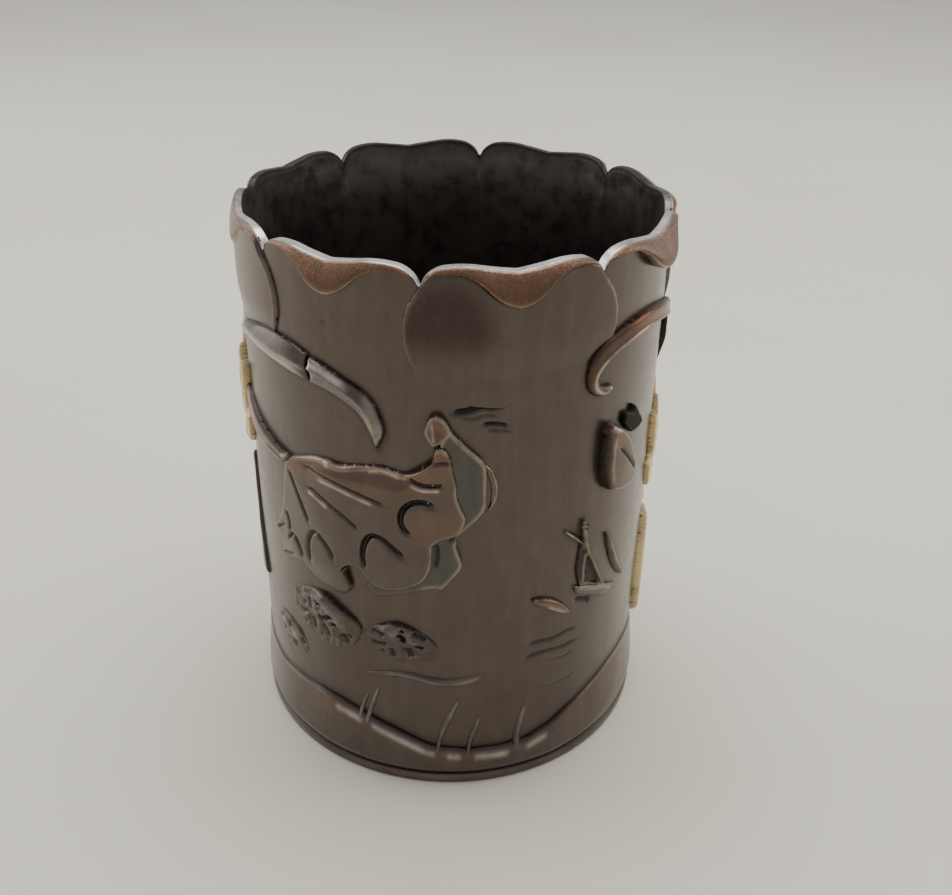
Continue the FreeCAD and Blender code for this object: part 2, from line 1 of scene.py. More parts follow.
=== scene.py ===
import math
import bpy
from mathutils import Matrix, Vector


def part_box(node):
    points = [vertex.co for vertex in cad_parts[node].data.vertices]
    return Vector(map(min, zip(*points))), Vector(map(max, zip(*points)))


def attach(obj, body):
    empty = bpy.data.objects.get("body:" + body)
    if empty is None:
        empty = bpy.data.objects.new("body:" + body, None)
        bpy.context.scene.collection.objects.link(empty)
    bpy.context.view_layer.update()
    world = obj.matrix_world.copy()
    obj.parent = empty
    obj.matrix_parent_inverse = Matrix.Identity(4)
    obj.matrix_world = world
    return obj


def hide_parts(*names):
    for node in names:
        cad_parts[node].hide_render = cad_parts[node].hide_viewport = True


bl_info = {
    "name": "Lotus pond brush pot",
    "version": (1, 0, 0),
    "blender": (4, 5, 0),
    "location": "View3D > Sidebar > Brush pot",
    "description": "Models a patinated metal brush pot with a lobed rim and lotus pond reliefs",
    "category": "Add Mesh",
}

import bpy
import numpy as np
from bpy.props import FloatProperty, FloatVectorProperty, IntProperty, PointerProperty
from mathutils import Matrix, Vector

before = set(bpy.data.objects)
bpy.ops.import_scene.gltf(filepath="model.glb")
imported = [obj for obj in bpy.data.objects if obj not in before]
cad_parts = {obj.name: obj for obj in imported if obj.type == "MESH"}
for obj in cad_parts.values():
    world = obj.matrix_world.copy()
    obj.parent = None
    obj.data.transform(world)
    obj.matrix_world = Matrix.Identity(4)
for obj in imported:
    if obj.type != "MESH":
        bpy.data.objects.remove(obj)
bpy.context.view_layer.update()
WALL_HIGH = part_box("wall")[1]
FOOT_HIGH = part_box("foot_ring")[1]
BANK_LOW, BANK_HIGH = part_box("bank")
PLATE_LOW, PLATE_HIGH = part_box("base_plate")

MM = 0.001
PETALS = 8
PETAL_STEP = 360.0 / PETALS
GRID_R = 42.0      # the outlines below are drawn in millimetres on the unrolled wall of this
GRID_H = 114.0     # radius and height, u to the right from the front and z up
ROUND = 263.9      # once round the unrolled wall
BORDER_SINK = 0.12  # how far a relief's border and back lie inside the wall, in millimetres
BACK_SINK = 0.45
GROOVE_FADE = 2.2  # how sharply the ends of grooves and ridges run out
RIDGE_FADE = 2.5
pot_outlines = []  # every relief's outline, with how strongly painted shade darkens the wall beside it, in place of ambient occlusion


# ------------------------------------------------------------------ sizes and colours
def length(name, description, default, low=0.0):
    return FloatProperty(name=name, description=description, default=default, min=low,
                         unit="LENGTH", precision=5)


def colour(name, description, default):
    return FloatVectorProperty(name=name, description=description, default=default, size=3,
                               min=0.0, max=1.0, subtype="COLOR")


class PotSizes(bpy.types.PropertyGroup):
    wall_radius: length("Wall radius", "Outside radius of the wall", WALL_HIGH[0])
    wall_thickness: length("Wall thickness", "Width of the rim's flat top face", 0.0026)
    height: length("Height", "Height of the rim's highest points", WALL_HIGH[2])
    foot_height: length("Foot height", "Height of the foot ring", FOOT_HIGH[2])
    foot_out: length("Foot projection", "How far the foot ring stands out of the wall",
                     FOOT_HIGH[0] - WALL_HIGH[0])
    bank_out: length("Bank projection", "How far the pond bank stands out of the wall",
                     BANK_HIGH[0] - WALL_HIGH[0])
    bank_bottom: length("Bank underside", "Height of the groove above the foot ring", BANK_LOW[2])
    notch_depth: length("Notch depth", "Depth of the notch between two rim petals", 0.0037)
    petal_lap: length("Petal lap", "Thickness of a lapped rim petal", 0.0007)
    lip_out: length("Lip roll", "How far a rolled lip stands out of the wall", 0.0020)
    lip_drop: length("Lip drop", "How far a rolled lip hangs down", 0.0056)
    leaf_out: length("Leaf relief", "Relief of the large lotus leaves", 0.0024)
    reed_out: length("Reed relief", "Relief of the reeds", 0.0019)
    cell: length("Modelling grid", "Spacing of the grid the reliefs are modelled on", 0.00024)
    petal_turn: FloatProperty(name="Front petal", description="Azimuth of the front rim petal",
                              default=14.7, unit="NONE")
    wall_steps: IntProperty(name="Wall steps", description="Steps round the wall",
                            default=440, min=64)


class PotFinish(bpy.types.PropertyGroup):
    bronze: colour("Bronze", "Worn brown bronze of the wall", (0.083, 0.0645, 0.055))
    stain: colour("Stain", "Reddish brown patina in patches", (0.085, 0.052, 0.043))
    # this pale colour serves as the painted highlight on the rim's top face
    pale_edge: colour("Pale edge", "Brightest rubbed metal", (0.76, 0.71, 0.66))
    gold: colour("Gilding", "Worn gilding of the side flowers", (0.70, 0.52, 0.24))
    # this dark colour also paints shade: recesses, the groove under the bank and relief borders
    # take it
    shade_and_grime: colour("Grime and shade", "Dark wax and dirt in the recesses", (0.012, 0.008, 0.006))
    inside: colour("Inside", "Dark unpolished inside", (0.035, 0.026, 0.021))
    floor: colour("Floor", "Pale table top", (0.78, 0.74, 0.62))
    floor_warm: colour("Floor tint", "Warmer patches of the table top", (0.74, 0.695, 0.575))


class StageSetting(bpy.types.PropertyGroup):
    eye: FloatVectorProperty(name="Camera place", description="Where the camera stands",
                             default=(0.0, -0.2063, 0.1745), size=3, unit="LENGTH")
    pitch: FloatProperty(name="Pitch", description="How far the camera looks down",
                         default=math.radians(29.635), subtype="ANGLE")
    yaw: FloatProperty(name="Yaw", description="How far the camera turns towards +X",
                       default=math.radians(1.439), subtype="ANGLE")
    roll: FloatProperty(name="Roll", description="How far the camera leans",
                        default=math.radians(1.197), subtype="ANGLE")
    lens: FloatProperty(name="Lens", description="Focal length in millimetres", default=40.84)
    floor_size: length("Floor size", "Side of the square floor", 6.0)
    sky: FloatProperty(name="Sky", description="Brightness of the room's soft light", default=0.62)
    key: FloatProperty(name="Key", description="Power of the large soft light overhead",
                       default=7.0)


# ------------------------------------------------------------------ curves and distances
def curve(points, step=0.3):
    """Points of a smooth curve through the given ones, about step apart."""
    p = np.array(points, float)
    ends = np.vstack([2 * p[0] - p[1], p, 2 * p[-1] - p[-2]])
    out = []
    for a, b, c, d in zip(ends, ends[1:], ends[2:], ends[3:]):
        count = max(2, int(np.linalg.norm(c - b) / step) + 1)
        t = np.linspace(0, 1, count, endpoint=False)[:, None]
        if len(p) == 2:
            out.append(b + (c - b) * t)
        else:
            out.append(0.5 * (2 * b + (c - a) * t + (2 * a - 5 * b + 4 * c - d) * t ** 2
                              + (3 * b - a - 3 * c + d) * t ** 3))
    return np.vstack(out + [p[-1:]])


def closed(*runs, step=0.3):
    """A closed outline: each run is a smooth curve that starts where the last one ended."""
    points = []
    start = tuple(runs[-1][-1])
    for run in runs:
        run = [start] + [tuple(p) for p in run if tuple(p) != start]
        points.append(curve(run, step)[:-1])
        start = run[-1]
    return np.vstack(points)


def band(line, width, blunt=0.0):
    """The outline of a blade along a line, widest in the middle; blunt is its share at the ends."""
    c = curve(line)
    run = np.gradient(c, axis=0)
    run /= np.maximum(np.linalg.norm(run, axis=1), 1e-9)[:, None]
    t = np.linspace(0, 1, len(c))
    half = width / 2 * (blunt + (1 - blunt) * np.sin(np.pi * t) ** 0.6)
    half = np.maximum(half, 0.05)[:, None]
    side = np.column_stack([-run[:, 1], run[:, 0]]) * half
    return np.vstack([c + side, (c - side)[::-1]])


def petal_shape(u, z, size, width, lean):
    """A pointed petal growing from (u, z); lean is degrees from upright towards +u."""
    a = math.radians(lean)
    along, across = np.array([math.sin(a), math.cos(a)]), np.array([math.cos(a), -math.sin(a)])
    half = [(0.0, 0.10), (0.22, 0.36), (0.5, 0.5), (0.78, 0.34), (1.0, 0.0)]
    right = [tuple(np.array([u, z]) + along * size * t + across * width * w) for t, w in half]
    left = [tuple(np.array([u, z]) + along * size * t - across * width * w)
            for t, w in reversed(half)]
    return closed(right, left[1:], [right[0]])


def nearest(at, line, ring=False):
    """Distance from each point to a line, the nearest place on it, and its share of the length."""
    a, b = (line, np.roll(line, -1, 0)) if ring else (line[:-1], line[1:])
    run = b - a
    size = np.maximum((run ** 2).sum(1), 1e-12)
    gap, place, share = np.empty(len(at)), np.empty((len(at), 2)), np.empty(len(at))
    for i in range(0, len(at), 3000):
        p = at[i:i + 3000, None, :]
        t = np.clip(((p - a) * run).sum(2) / size, 0, 1)
        q = a + run * t[..., None]
        d = ((p - q) ** 2).sum(2)
        k = d.argmin(1)
        row = np.arange(len(k))
        gap[i:i + 3000] = np.sqrt(d[row, k])
        place[i:i + 3000] = q[row, k]
        share[i:i + 3000] = (k + t[row, k]) / len(run)
    return gap, place, share


def inside(at, line):
    """Which points lie inside an outline."""
    x, y = at[:, 0, None], at[:, 1, None]
    a, b = line, np.roll(line, -1, 0)
    rise = np.where(np.abs(b[:, 1] - a[:, 1]) < 1e-12, 1e-12, b[:, 1] - a[:, 1])
    hit = ((a[:, 1] > y) != (b[:, 1] > y)) & (x < (b[:, 0] - a[:, 0]) * (y - a[:, 1]) / rise + a[:,
            0])
    return hit.sum(1) % 2 == 1


def inset(at, line):
    """How far each point is inside an outline (negative outside), and the nearest edge point."""
    gap, place, _ = nearest(at, line, ring=True)
    return np.where(inside(at, line), gap, -gap), place


def ease(t):
    """A smooth step from 0 to 1."""
    t = np.clip(t, 0.0, 1.0)
    return t * t * (3 - 2 * t)


def ripple(at, size, seed=0):
    """Slow unevenness of hand-finished metal, from -1 to 1."""
    rng = np.random.default_rng(seed)
    out = np.zeros(len(at))
    for _ in range(6):
        a, phase = rng.uniform(0, 2 * np.pi, 2)
        k = 2 * np.pi / (size * rng.uniform(0.7, 1.6))
        out += np.sin(k * (at[:, 0] * math.cos(a) + at[:, 1] * math.sin(a)) + phase)
    return out / 6


# ------------------------------------------------------------------ mesh helpers
def only(piece):
    """Selects this piece alone, in object mode."""
    if bpy.context.mode != "OBJECT":
        bpy.ops.object.mode_set(mode="OBJECT")
    bpy.ops.object.select_all(action="DESELECT")
    piece.select_set(True)
    bpy.context.view_layer.objects.active = piece


def points_of(piece):
    co = np.empty(len(piece.data.vertices) * 3)
    piece.data.vertices.foreach_get("co", co)
    return co.reshape(-1, 3)


def move_points(piece, co):
    piece.data.vertices.foreach_set("co", np.ascontiguousarray(co, dtype=np.float32).ravel())
    piece.data.update()


def select(piece, mask, kind="vertices"):
    """Selects the points, edges or faces in mask and nothing else, and goes into edit mode."""
    only(piece)
    modes = {"vertices": "VERT", "edges": "EDGE", "polygons": "FACE"}
    bpy.ops.object.mode_set(mode="EDIT")
    bpy.ops.mesh.select_mode(type=modes[kind])
    bpy.ops.mesh.select_all(action="DESELECT")
    bpy.ops.object.mode_set(mode="OBJECT")
    getattr(piece.data, kind).foreach_set("select", np.asarray(mask, bool))
    bpy.ops.object.mode_set(mode="EDIT")


def apply_modifier(piece, kind, **values):
    only(piece)
    modifier = piece.modifiers.new(kind.title(), kind)
    for key, value in values.items():
        setattr(modifier, key, value)
    bpy.ops.object.modifier_apply(modifier=modifier.name)


def edge_pairs(piece):
    pairs = np.empty(len(piece.data.edges) * 2, dtype=np.int64)
    piece.data.edges.foreach_get("vertices", pairs)
    return pairs.reshape(-1, 2)


def blurred(values, pairs, rounds):
    """Each value averaged with its neighbours' along the edges, a number of times."""
    size = len(values)
    count = np.bincount(pairs.ravel(), minlength=size).astype(float) + 1
    a, b = pairs.T
    for _ in range(rounds):
        total = (values + np.bincount(a, values[b], size) + np.bincount(b, values[a], size))
        values = total / count
    return values


def mark(piece, name, values):
    """Stores a mask on the piece's points, for its material."""
    layer = piece.data.attributes.get(name) or piece.data.attributes.new(name, "FLOAT", "POINT")
    layer.data.foreach_set("value", np.clip(values, 0, 1).astype(np.float32))


def wrapped(u, z, out, sizes):
    """Places on the pot for places on the unrolled wall, out millimetres off it."""
    r = sizes.wall_radius / MM + out
    a = u / GRID_R
    return np.column_stack([r * np.sin(a), -r * np.cos(a), z * sizes.height / MM / GRID_H]) * MM


def finished(piece, material, slot, *nodes, angle=None):
    """Smooths and dresses a piece, and ties it to the CAD nodes it stands for."""
    only(piece)
    bpy.ops.object.shade_smooth()
    if angle:
        bpy.ops.object.shade_smooth_by_angle(angle=math.radians(angle))
    piece.data.materials.clear()
    piece.data.materials.append(material)
    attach(piece, "root")
    if nodes:
        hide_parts(*nodes)
    return piece


def lathe(name, profile, steps, start=0.0):
    """A ring spun about the pot's axis from a line of (r, z), starting at azimuth start."""
    only_none()
    bpy.ops.mesh.primitive_plane_add(size=0.001)
    piece = bpy.context.object
    piece.name = piece.data.name = name
    bpy.ops.object.mode_set(mode="EDIT")
    bpy.ops.mesh.select_mode(type="VERT")
    bpy.ops.mesh.select_all(action="SELECT")
    bpy.ops.mesh.merge(type="CENTER")
    a = math.radians(start)
    spots = [Vector((r * math.sin(a), -r * math.cos(a), z)) * MM for r, z in profile]
    bpy.ops.transform.translate(value=spots[0])
    for here, there in zip(spots, spots[1:]):
        bpy.ops.mesh.extrude_vertices_move(TRANSFORM_OT_translate={"value": there - here})
    bpy.ops.mesh.select_all(action="SELECT")
    bpy.ops.mesh.spin(steps=steps, angle=2 * math.pi, center=(0, 0, 0), axis=(0, 0, 1))
    bpy.ops.mesh.select_all(action="SELECT")
    bpy.ops.mesh.remove_doubles(threshold=1e-6)
    bpy.ops.mesh.normals_make_consistent(inside=False)
    bpy.ops.object.mode_set(mode="OBJECT")
    return piece


def only_none():
    """Deselects everything, in object mode."""
    if bpy.context.mode != "OBJECT":
        bpy.ops.object.mode_set(mode="OBJECT")
    bpy.ops.object.select_all(action="DESELECT")


class Relief:
    """A casting modelled on a flat grid, u along the wall and z up, then wrapped round it."""

    def __init__(self, name, outlines, cell=None, seed=1, shade_and_grime=0.3):
        self.sizes = bpy.context.scene.pot_sizes
        cell = cell or self.sizes.cell / MM
        self.shapes = outlines
        # each outline keeps the strength of the painted shade it casts on the wall beside it
        pot_outlines.extend((outline, shade_and_grime) for outline in outlines)
        edge = np.vstack(outlines)
        self.low, self.high = edge.min(0) - cell, edge.max(0) + cell
        cells = np.ceil((self.high - self.low) / cell).astype(int)
        only_none()
        bpy.ops.mesh.primitive_grid_add(x_subdivisions=int(cells[0]), y_subdivisions=int(cells[1]),
                                        size=1)
        self.piece = bpy.context.object
        self.piece.name = self.piece.data.name = name
        self.at = self.grid_place()
        self.measure()
        corners = np.empty(len(self.piece.data.polygons) * 4, dtype=np.int64)
        self.piece.data.polygons.foreach_get("vertices", corners)
        outer = (self.deep[corners.reshape(-1, 4)] <= 0).all(1)
        select(self.piece, outer, "polygons")
        bpy.ops.mesh.delete(type="FACE")
        bpy.ops.object.mode_set(mode="OBJECT")
        self.at = self.grid_place()
        self.measure()
        self.pairs = edge_pairs(self.piece)
        self.settle(cell)
        self.out = np.zeros(len(self.at))
        self.wear_and_highlight = np.zeros(len(self.at))
        self.dark = np.zeros(len(self.at))
        self.seed = seed

    def grid_place(self):
        return self.low + (points_of(self.piece)[:, :2] + 0.5) * (self.high - self.low)

    def settle(self, cell):
        """Moves the border onto the outline and evens out the rows beside it."""
        self.outer = self.deep < 0.15 * cell
        self.at = np.where(self.outer[:, None], self.edge, self.at)
        near = ~self.outer & (self.deep < 3.5 * cell)
        for _ in range(6):
            for k in (0, 1):
                self.at[near, k] = blurred(self.at[:, k], self.pairs, 1)[near]
        self.measure()
        self.deep = np.where(self.outer, 0.0, np.maximum(self.deep, 0.0))

    def measure(self):
        both = [inset(self.at, shape) for shape in self.shapes]
        first = np.argmax([gap for gap, _ in both], axis=0)
        rows = np.arange(len(self.at))
        self.deep = np.array([gap for gap, _ in both])[first, rows]
        self.edge = np.array([place for _, place in both])[first, rows]

    @property
    def u(self):
        """How far along the wall each point is."""
        return self.at[:, 0]

    @property
    def z(self):
        """How high each point is."""
        return self.at[:, 1]

    def shade_and_soil(self, amount):
        """Darkens to at least this much: dirt in some places, painted shade in others."""
        self.dark = np.maximum(self.dark, amount)

    def rub_and_highlight(self, amount):
        """Brightens to at least this much: wear in some places, painted highlight in others."""
        self.wear_and_highlight = np.maximum(self.wear_and_highlight, amount)

    def slab(self, out, edge=0.6, floor=0.25):
        """An even thickness with rounded edges."""
        t = np.clip(self.deep / edge, 0, 1)
        self.out = out * (floor + (1 - floor) * np.sqrt(np.clip(1 - (1 - t) ** 2, 0, 1)))
        return self

    def roof(self, line, low, high, edge=0.35, curve_up=1.0):
        """Two facets that meet on a line."""
        gap, _, _ = nearest(self.at, curve(line))
        d = np.maximum(self.deep, 0)
        t = (d / (d + gap + 1e-6)) ** curve_up
        self.out = (low + (high - low) * t) * (0.3 + 0.7 * ease(d / edge))
        self.rub_and_highlight(np.exp(-(gap / 0.28) ** 2) * 0.8)
        return self

    def groove(self, line, width, depth, dark=0.9, blunt=False):
        gap, _, share = nearest(self.at, curve(line))
        fade = 1.0 if blunt else ease(np.sin(np.pi * np.clip(share, 0.03, 0.97)) * GROOVE_FADE)
        cut = np.exp(-(gap / width) ** 2) * fade
        self.out = self.out - depth * cut
        # the groove darkens: dirt and painted shade in it
        self.shade_and_soil(cut * dark)
        return self

    def ridge(self, line, width, height, wear_and_highlight=0.8, fade=True):
        gap, _, share = nearest(self.at, curve(line))
        fade = ease(np.sin(np.pi * np.clip(share, 0.02, 0.98)) * RIDGE_FADE) if fade else 1.0
        rise = np.exp(-(gap / width) ** 2) * fade
        self.out = self.out + height * rise
        self.rub_and_highlight(rise * wear_and_highlight)
        return self

    def swell(self, u, z, half_u, half_z, height, turn=0.0):
        c, s = math.cos(math.radians(turn)), math.sin(math.radians(turn))
        x, y = self.u - u, self.z - z
        far = ((x * c + y * s) / half_u) ** 2 + ((y * c - x * s) / half_z) ** 2
        self.out = self.out + height * np.exp(-far)
        return self

    def rim(self, width, height, wear_and_highlight=0.9):
        """A fine raised border just inside the outline."""
        rise = np.exp(-((self.deep - width) / width) ** 2)
        self.out = self.out + height * rise
        self.rub_and_highlight(rise * wear_and_highlight)
        return self

    def layer(self, shape, level, crown, edge=0.5):
        """A leaf or petal laid over what is there, higher than it, with a dark line beside it."""
        gap, _ = inset(self.at, shape)
        t = np.clip(gap / edge, 0, 1)
        body = level * (0.45 + 0.55 * np.sqrt(1 - (1 - t) ** 2)) + crown * ease(gap / 2.2)
        beside = np.exp(-(np.minimum(gap, 0) / 0.35) ** 2) * (gap <= 0)
        self.dark = np.where(gap > 0, 0.0, np.maximum(self.dark, beside * 0.75))
        self.out = np.where(gap > 0, np.maximum(body, self.out * 0.6), self.out - 0.25 * beside)
        return self

    def uneven(self, size, height):
        self.out = self.out + height * ripple(self.at, size, self.seed)
        return self

    def cast(self, material, slot, *nodes, wear=0.6, low=0.12, line=0.3):
        """Closes the grid into a solid, wraps it on the wall, and marks wear and painted
        highlights, and the dark of dirt and painted shade.
        """
        outer, front = self.outer, self.at
        out = np.where(outer, -BORDER_SINK, np.maximum(self.out, low))
        bulge = self.out - blurred(self.out, self.pairs, 6)
        wear_and_highlight = np.maximum(self.wear_and_highlight, np.clip(bulge * 3.0 * wear - 0.1, 0, 0.7) * ~outer)
        # concave places darken: dirt and painted shade in them
        dark = np.maximum(self.dark, np.clip(-bulge * 4.0 - 0.1, 0, 0.9))
        # painted shade: the border where the relief meets the wall darkens by line
        dark = np.where(outer, np.maximum(dark, line), dark)
        wear_and_highlight = np.where(self.deep < 0.9, blurred(wear_and_highlight, self.pairs, 3), wear_and_highlight)
        dark = np.where(self.deep < 0.9, blurred(dark, self.pairs, 2), dark)
        apply_modifier(self.piece, "SOLIDIFY", thickness=0.1, offset=-1, use_even_offset=False)
        face = wrapped(front[:, 0], front[:, 1], out, self.sizes)
        back = wrapped(front[:, 0], front[:, 1], np.full(len(out), -BACK_SINK), self.sizes)
        move_points(self.piece, np.vstack([face, back]))
        mark(self.piece, "wear_and_highlight", np.concatenate([wear_and_highlight, wear_and_highlight * 0]))
        mark(self.piece, "dark", np.concatenate([dark, dark * 0 + 1]))
        return finished(self.piece, material, slot, *nodes)


# ------------------------------------------------------------------ materials
def new_group(name, inputs, outputs):
    tree = bpy.data.node_groups.new(name, "ShaderNodeTree")
    kinds = {"colour": "NodeSocketColor", "number": "NodeSocketFloat", "vector": "NodeSocketVector"}
    for label, kind, value in inputs:
        socket = tree.interface.new_socket(label, in_out="INPUT", socket_type=kinds[kind])
        if value is not None:
            socket.default_value = value
    for label, kind in outputs:
        tree.interface.new_socket(label, in_out="OUTPUT", socket_type=kinds[kind])
    return tree, tree.nodes.new("NodeGroupInput"), tree.nodes.new("NodeGroupOutput")


def node(tree, kind, links=(), **values):
    """Adds a node, sets its properties, and feeds its inputs: (input, output socket or value)."""
    made = tree.nodes.new("ShaderNode" + kind)
    for key, value in values.items():
        setattr(made, key, value)
    for key, source in links:
        if isinstance(source, bpy.types.NodeSocket):
            tree.links.new(source, made.inputs[key])
        else:
            made.inputs[key].default_value = source
    return made


def sums(tree, operation, *sources, clamp=False):
    links = list(enumerate(sources))
    return node(tree, "Math", links, operation=operation, use_clamp=clamp).outputs[0]


def blend(tree, factor, a, b, kind="MIX"):
    made = tree.nodes.new("ShaderNodeMix")
    made.data_type = "RGBA"
    made.blend_type = kind
    for key, source in ((0, factor), (6, a), (7, b)):
        if isinstance(source, bpy.types.NodeSocket):
            tree.links.new(source, made.inputs[key])
        else:
            made.inputs[key].default_value = source
    return made.outputs[2]


def ramp(tree, source, low, high, to_low=0.0, to_high=1.0):
    made = node(tree, "MapRange", ((0, source), (1, low), (2, high), (3, to_low), (4, to_high)),
                interpolation_type="SMOOTHSTEP")
    return made.outputs[0]


def noise(tree, place, scale, detail=4.0, rough=0.55, warp=0.0):
    made = node(tree, "TexNoise", (("Vector", place), ("Scale", scale), ("Detail", detail),
                                   ("Roughness", rough), ("Distortion", warp)))
    return made.outputs[0]


def patina_group():
    """Old brown metal: patches of stain, fine mottling, rubbed high places with painted highlights,
    and dark recesses with dirt and painted shade.
    """
    tree, inp, out = new_group(
        "Old patina",
        [("Place", "vector", None), ("Metal", "colour", (0.15, 0.12, 0.1, 1)),
         ("Stain", "colour", (0.08, 0.05, 0.04, 1)), ("Rubbed", "colour", (0.5, 0.35, 0.2, 1)),
         ("Grime and shade", "colour", (0.01, 0.01, 0.01, 1)), ("Worn", "number", 0.0),
         ("Dark", "number", 0.0), ("Staining", "number", 0.5), ("Gloss", "number", 0.3),
         ("Stained here", "number", 0.0)],
        [("Colour", "colour"), ("Roughness", "number"), ("Height", "number")])
    place = inp.outputs["Place"]
    cloud = noise(tree, place, 38.0, 5.0, 0.55, 0.3)
    mottle = noise(tree, place, 240.0, 5.0, 0.62)
    grain = noise(tree, place, 1900.0, 3.0, 0.6)
    streak_place = node(tree, "Mapping", (("Vector", place), ("Scale", (1.0, 1.0, 0.12))))
    streak = noise(tree, streak_place.outputs[0], 420.0, 3.0, 0.6)
    patches = ramp(tree, cloud, 0.47, 0.66)
    patches = sums(tree, "MULTIPLY", patches, inp.outputs["Staining"])
    patches = sums(tree, "MAXIMUM", patches, inp.outputs["Stained here"], clamp=True)
    base = blend(tree, patches, inp.outputs["Metal"], inp.outputs["Stain"])
    tone = ramp(tree, mottle, 0.3, 0.72, 0.93, 1.08)
    streaks = ramp(tree, streak, 0.35, 0.7, 0.94, 1.07)
    tone = sums(tree, "MULTIPLY", tone, streaks)
    shade = node(tree, "CombineColor", ((0, tone), (1, tone), (2, tone))).outputs[0]
    base = blend(tree, 1.0, base, shade, "MULTIPLY")
    broken = ramp(tree, mottle, 0.28, 0.55, 0.35, 1.0)
    # the Worn input carries painted highlights as well as real wear
    wear_and_highlight = sums(tree, "MULTIPLY", inp.outputs["Worn"], broken, clamp=True)
    base = blend(tree, wear_and_highlight, base, inp.outputs["Rubbed"])
    caked = ramp(tree, grain, 0.3, 0.6, 0.75, 1.0)
    dark = sums(tree, "MULTIPLY", inp.outputs["Dark"], caked, clamp=True)
    # the dark mask blends to this colour for dirt and for painted shade alike
    base = blend(tree, dark, base, inp.outputs["Grime and shade"])
    rough = ramp(tree, cloud, 0.3, 0.7, -0.05, 0.07)
    rough = sums(tree, "ADD", rough, inp.outputs["Gloss"])
    rough = sums(tree, "ADD", rough, ramp(tree, mottle, 0.3, 0.7, -0.03, 0.05))
    rough = sums(tree, "ADD", rough, sums(tree, "MULTIPLY", dark, 0.35), clamp=True)
    high = sums(tree, "ADD", sums(tree, "MULTIPLY", mottle, 0.7),
                sums(tree, "MULTIPLY", grain, 0.3))
    tree.links.new(base, out.inputs["Colour"])
    tree.links.new(rough, out.inputs["Roughness"])
    tree.links.new(high, out.inputs["Height"])
    return tree


def grain_group():
    """Sand-cast skin: close pits that hold dirt, with bright metal between them."""
    tree, inp, out = new_group("Cast grain", [("Place", "vector", None),
                                              ("Pitting", "number", 0.5)],
                               [("Pits", "number"), ("Height", "number")])
    place = inp.outputs["Place"]
    coarse = noise(tree, place, 2600.0, 3.0, 0.65, 0.2)
    fine = noise(tree, place, 5200.0, 2.0, 0.6)
    both = sums(tree, "ADD", sums(tree, "MULTIPLY", coarse, 0.75),
                sums(tree, "MULTIPLY", fine, 0.25))
    pits = sums(tree, "MULTIPLY", ramp(tree, both, 0.54, 0.42), inp.outputs["Pitting"])
    tree.links.new(pits, out.inputs["Pits"])
    tree.links.new(both, out.inputs["Height"])
    return tree


def shared(name, maker):
    return bpy.data.node_groups.get(name) or maker()


def metal(name, base, rubbed, gloss=0.3, staining=0.5, metallic=0.9, bump=0.2, pitting=0.0,
          stain=None, wax=0.36):
    """A finished metal surface from the shared patina and cast grain."""
    made = bpy.data.materials.get(name)
    if made:
        return made
    finish = bpy.context.scene.pot_finish
    made = bpy.data.materials.new(name)
    made.use_nodes = True
    tree = made.node_tree
    shader = tree.nodes["Principled BSDF"]
    place = node(tree, "TexCoord").outputs["Object"]
    wear_and_highlight = node(tree, "Attribute", attribute_name="wear_and_highlight").outputs["Fac"]
    dark = node(tree, "Attribute", attribute_name="dark").outputs["Fac"]
    here = node(tree, "Attribute", attribute_name="stained").outputs["Fac"]
    patina = tree.nodes.new("ShaderNodeGroup")
    patina.node_tree = shared("Old patina", patina_group)
    for label, value in (("Metal", base), ("Stain", stain or finish.stain), ("Rubbed", rubbed),
                         ("Grime and shade", finish.shade_and_grime)):
        patina.inputs[label].default_value = (*value, 1.0)
    patina.inputs["Staining"].default_value = staining
    patina.inputs["Gloss"].default_value = gloss
    height = patina.outputs["Height"]
    if pitting:
        grain = tree.nodes.new("ShaderNodeGroup")
        grain.node_tree = shared("Cast grain", grain_group)
        grain.inputs["Pitting"].default_value = pitting
        tree.links.new(place, grain.inputs["Place"])
        dark = sums(tree, "MAXIMUM", dark, grain.outputs["Pits"])
        height = sums(tree, "ADD", sums(tree, "MULTIPLY", height, 0.3), grain.outputs["Height"])
    for label, source in (("Place", place), ("Worn", wear_and_highlight), ("Dark", dark), ("Stained here", here)):
        tree.links.new(source, patina.inputs[label])
    lumps = node(tree, "Bump", (("Height", height), ("Strength", bump), ("Distance", 0.0004)))
    tree.links.new(lumps.outputs[0], shader.inputs["Normal"])
    tree.links.new(patina.outputs["Colour"], shader.inputs["Base Color"])
    tree.links.new(patina.outputs["Roughness"], shader.inputs["Roughness"])
    shader.inputs["Metallic"].default_value = metallic
    shader.inputs["Coat Weight"].default_value = wax
    shader.inputs["Coat Roughness"].default_value = 0.22
    return made


def wall_metal():
    f = bpy.context.scene.pot_finish
    return metal("Brown bronze wall", f.bronze, f.pale_edge, gloss=0.30, staining=0.3, bump=0.12)


def leaf_metal():
    f = bpy.context.scene.pot_finish
    return metal("Leaf bronze", f.bronze, (0.46, 0.37, 0.30), gloss=0.27, staining=0.4,
                 stain=(0.125, 0.072, 0.052), bump=0.14)


def reed_metal():
    f = bpy.context.scene.pot_finish
    return metal("Reed bronze", f.bronze, (0.56, 0.50, 0.45), gloss=0.24, staining=0.5)


def tuft_metal():
    f = bpy.context.scene.pot_finish
    return metal("Tuft bronze", f.bronze, (0.36, 0.30, 0.26), gloss=0.32, staining=0.35,
                 pitting=0.2, bump=0.3)


def lip_metal():
    return metal("Rubbed copper lip", (0.185, 0.096, 0.055), (0.60, 0.47, 0.36), gloss=0.26,
                 staining=0.35, stain=(0.100, 0.044, 0.022), pitting=0.42, bump=0.4)


def gilt_metal():
    f = bpy.context.scene.pot_finish
    return metal("Worn gilding", f.gold, (0.85, 0.70, 0.42), gloss=0.30, staining=0.45,
                 stain=(0.30, 0.20, 0.10), bump=0.3)


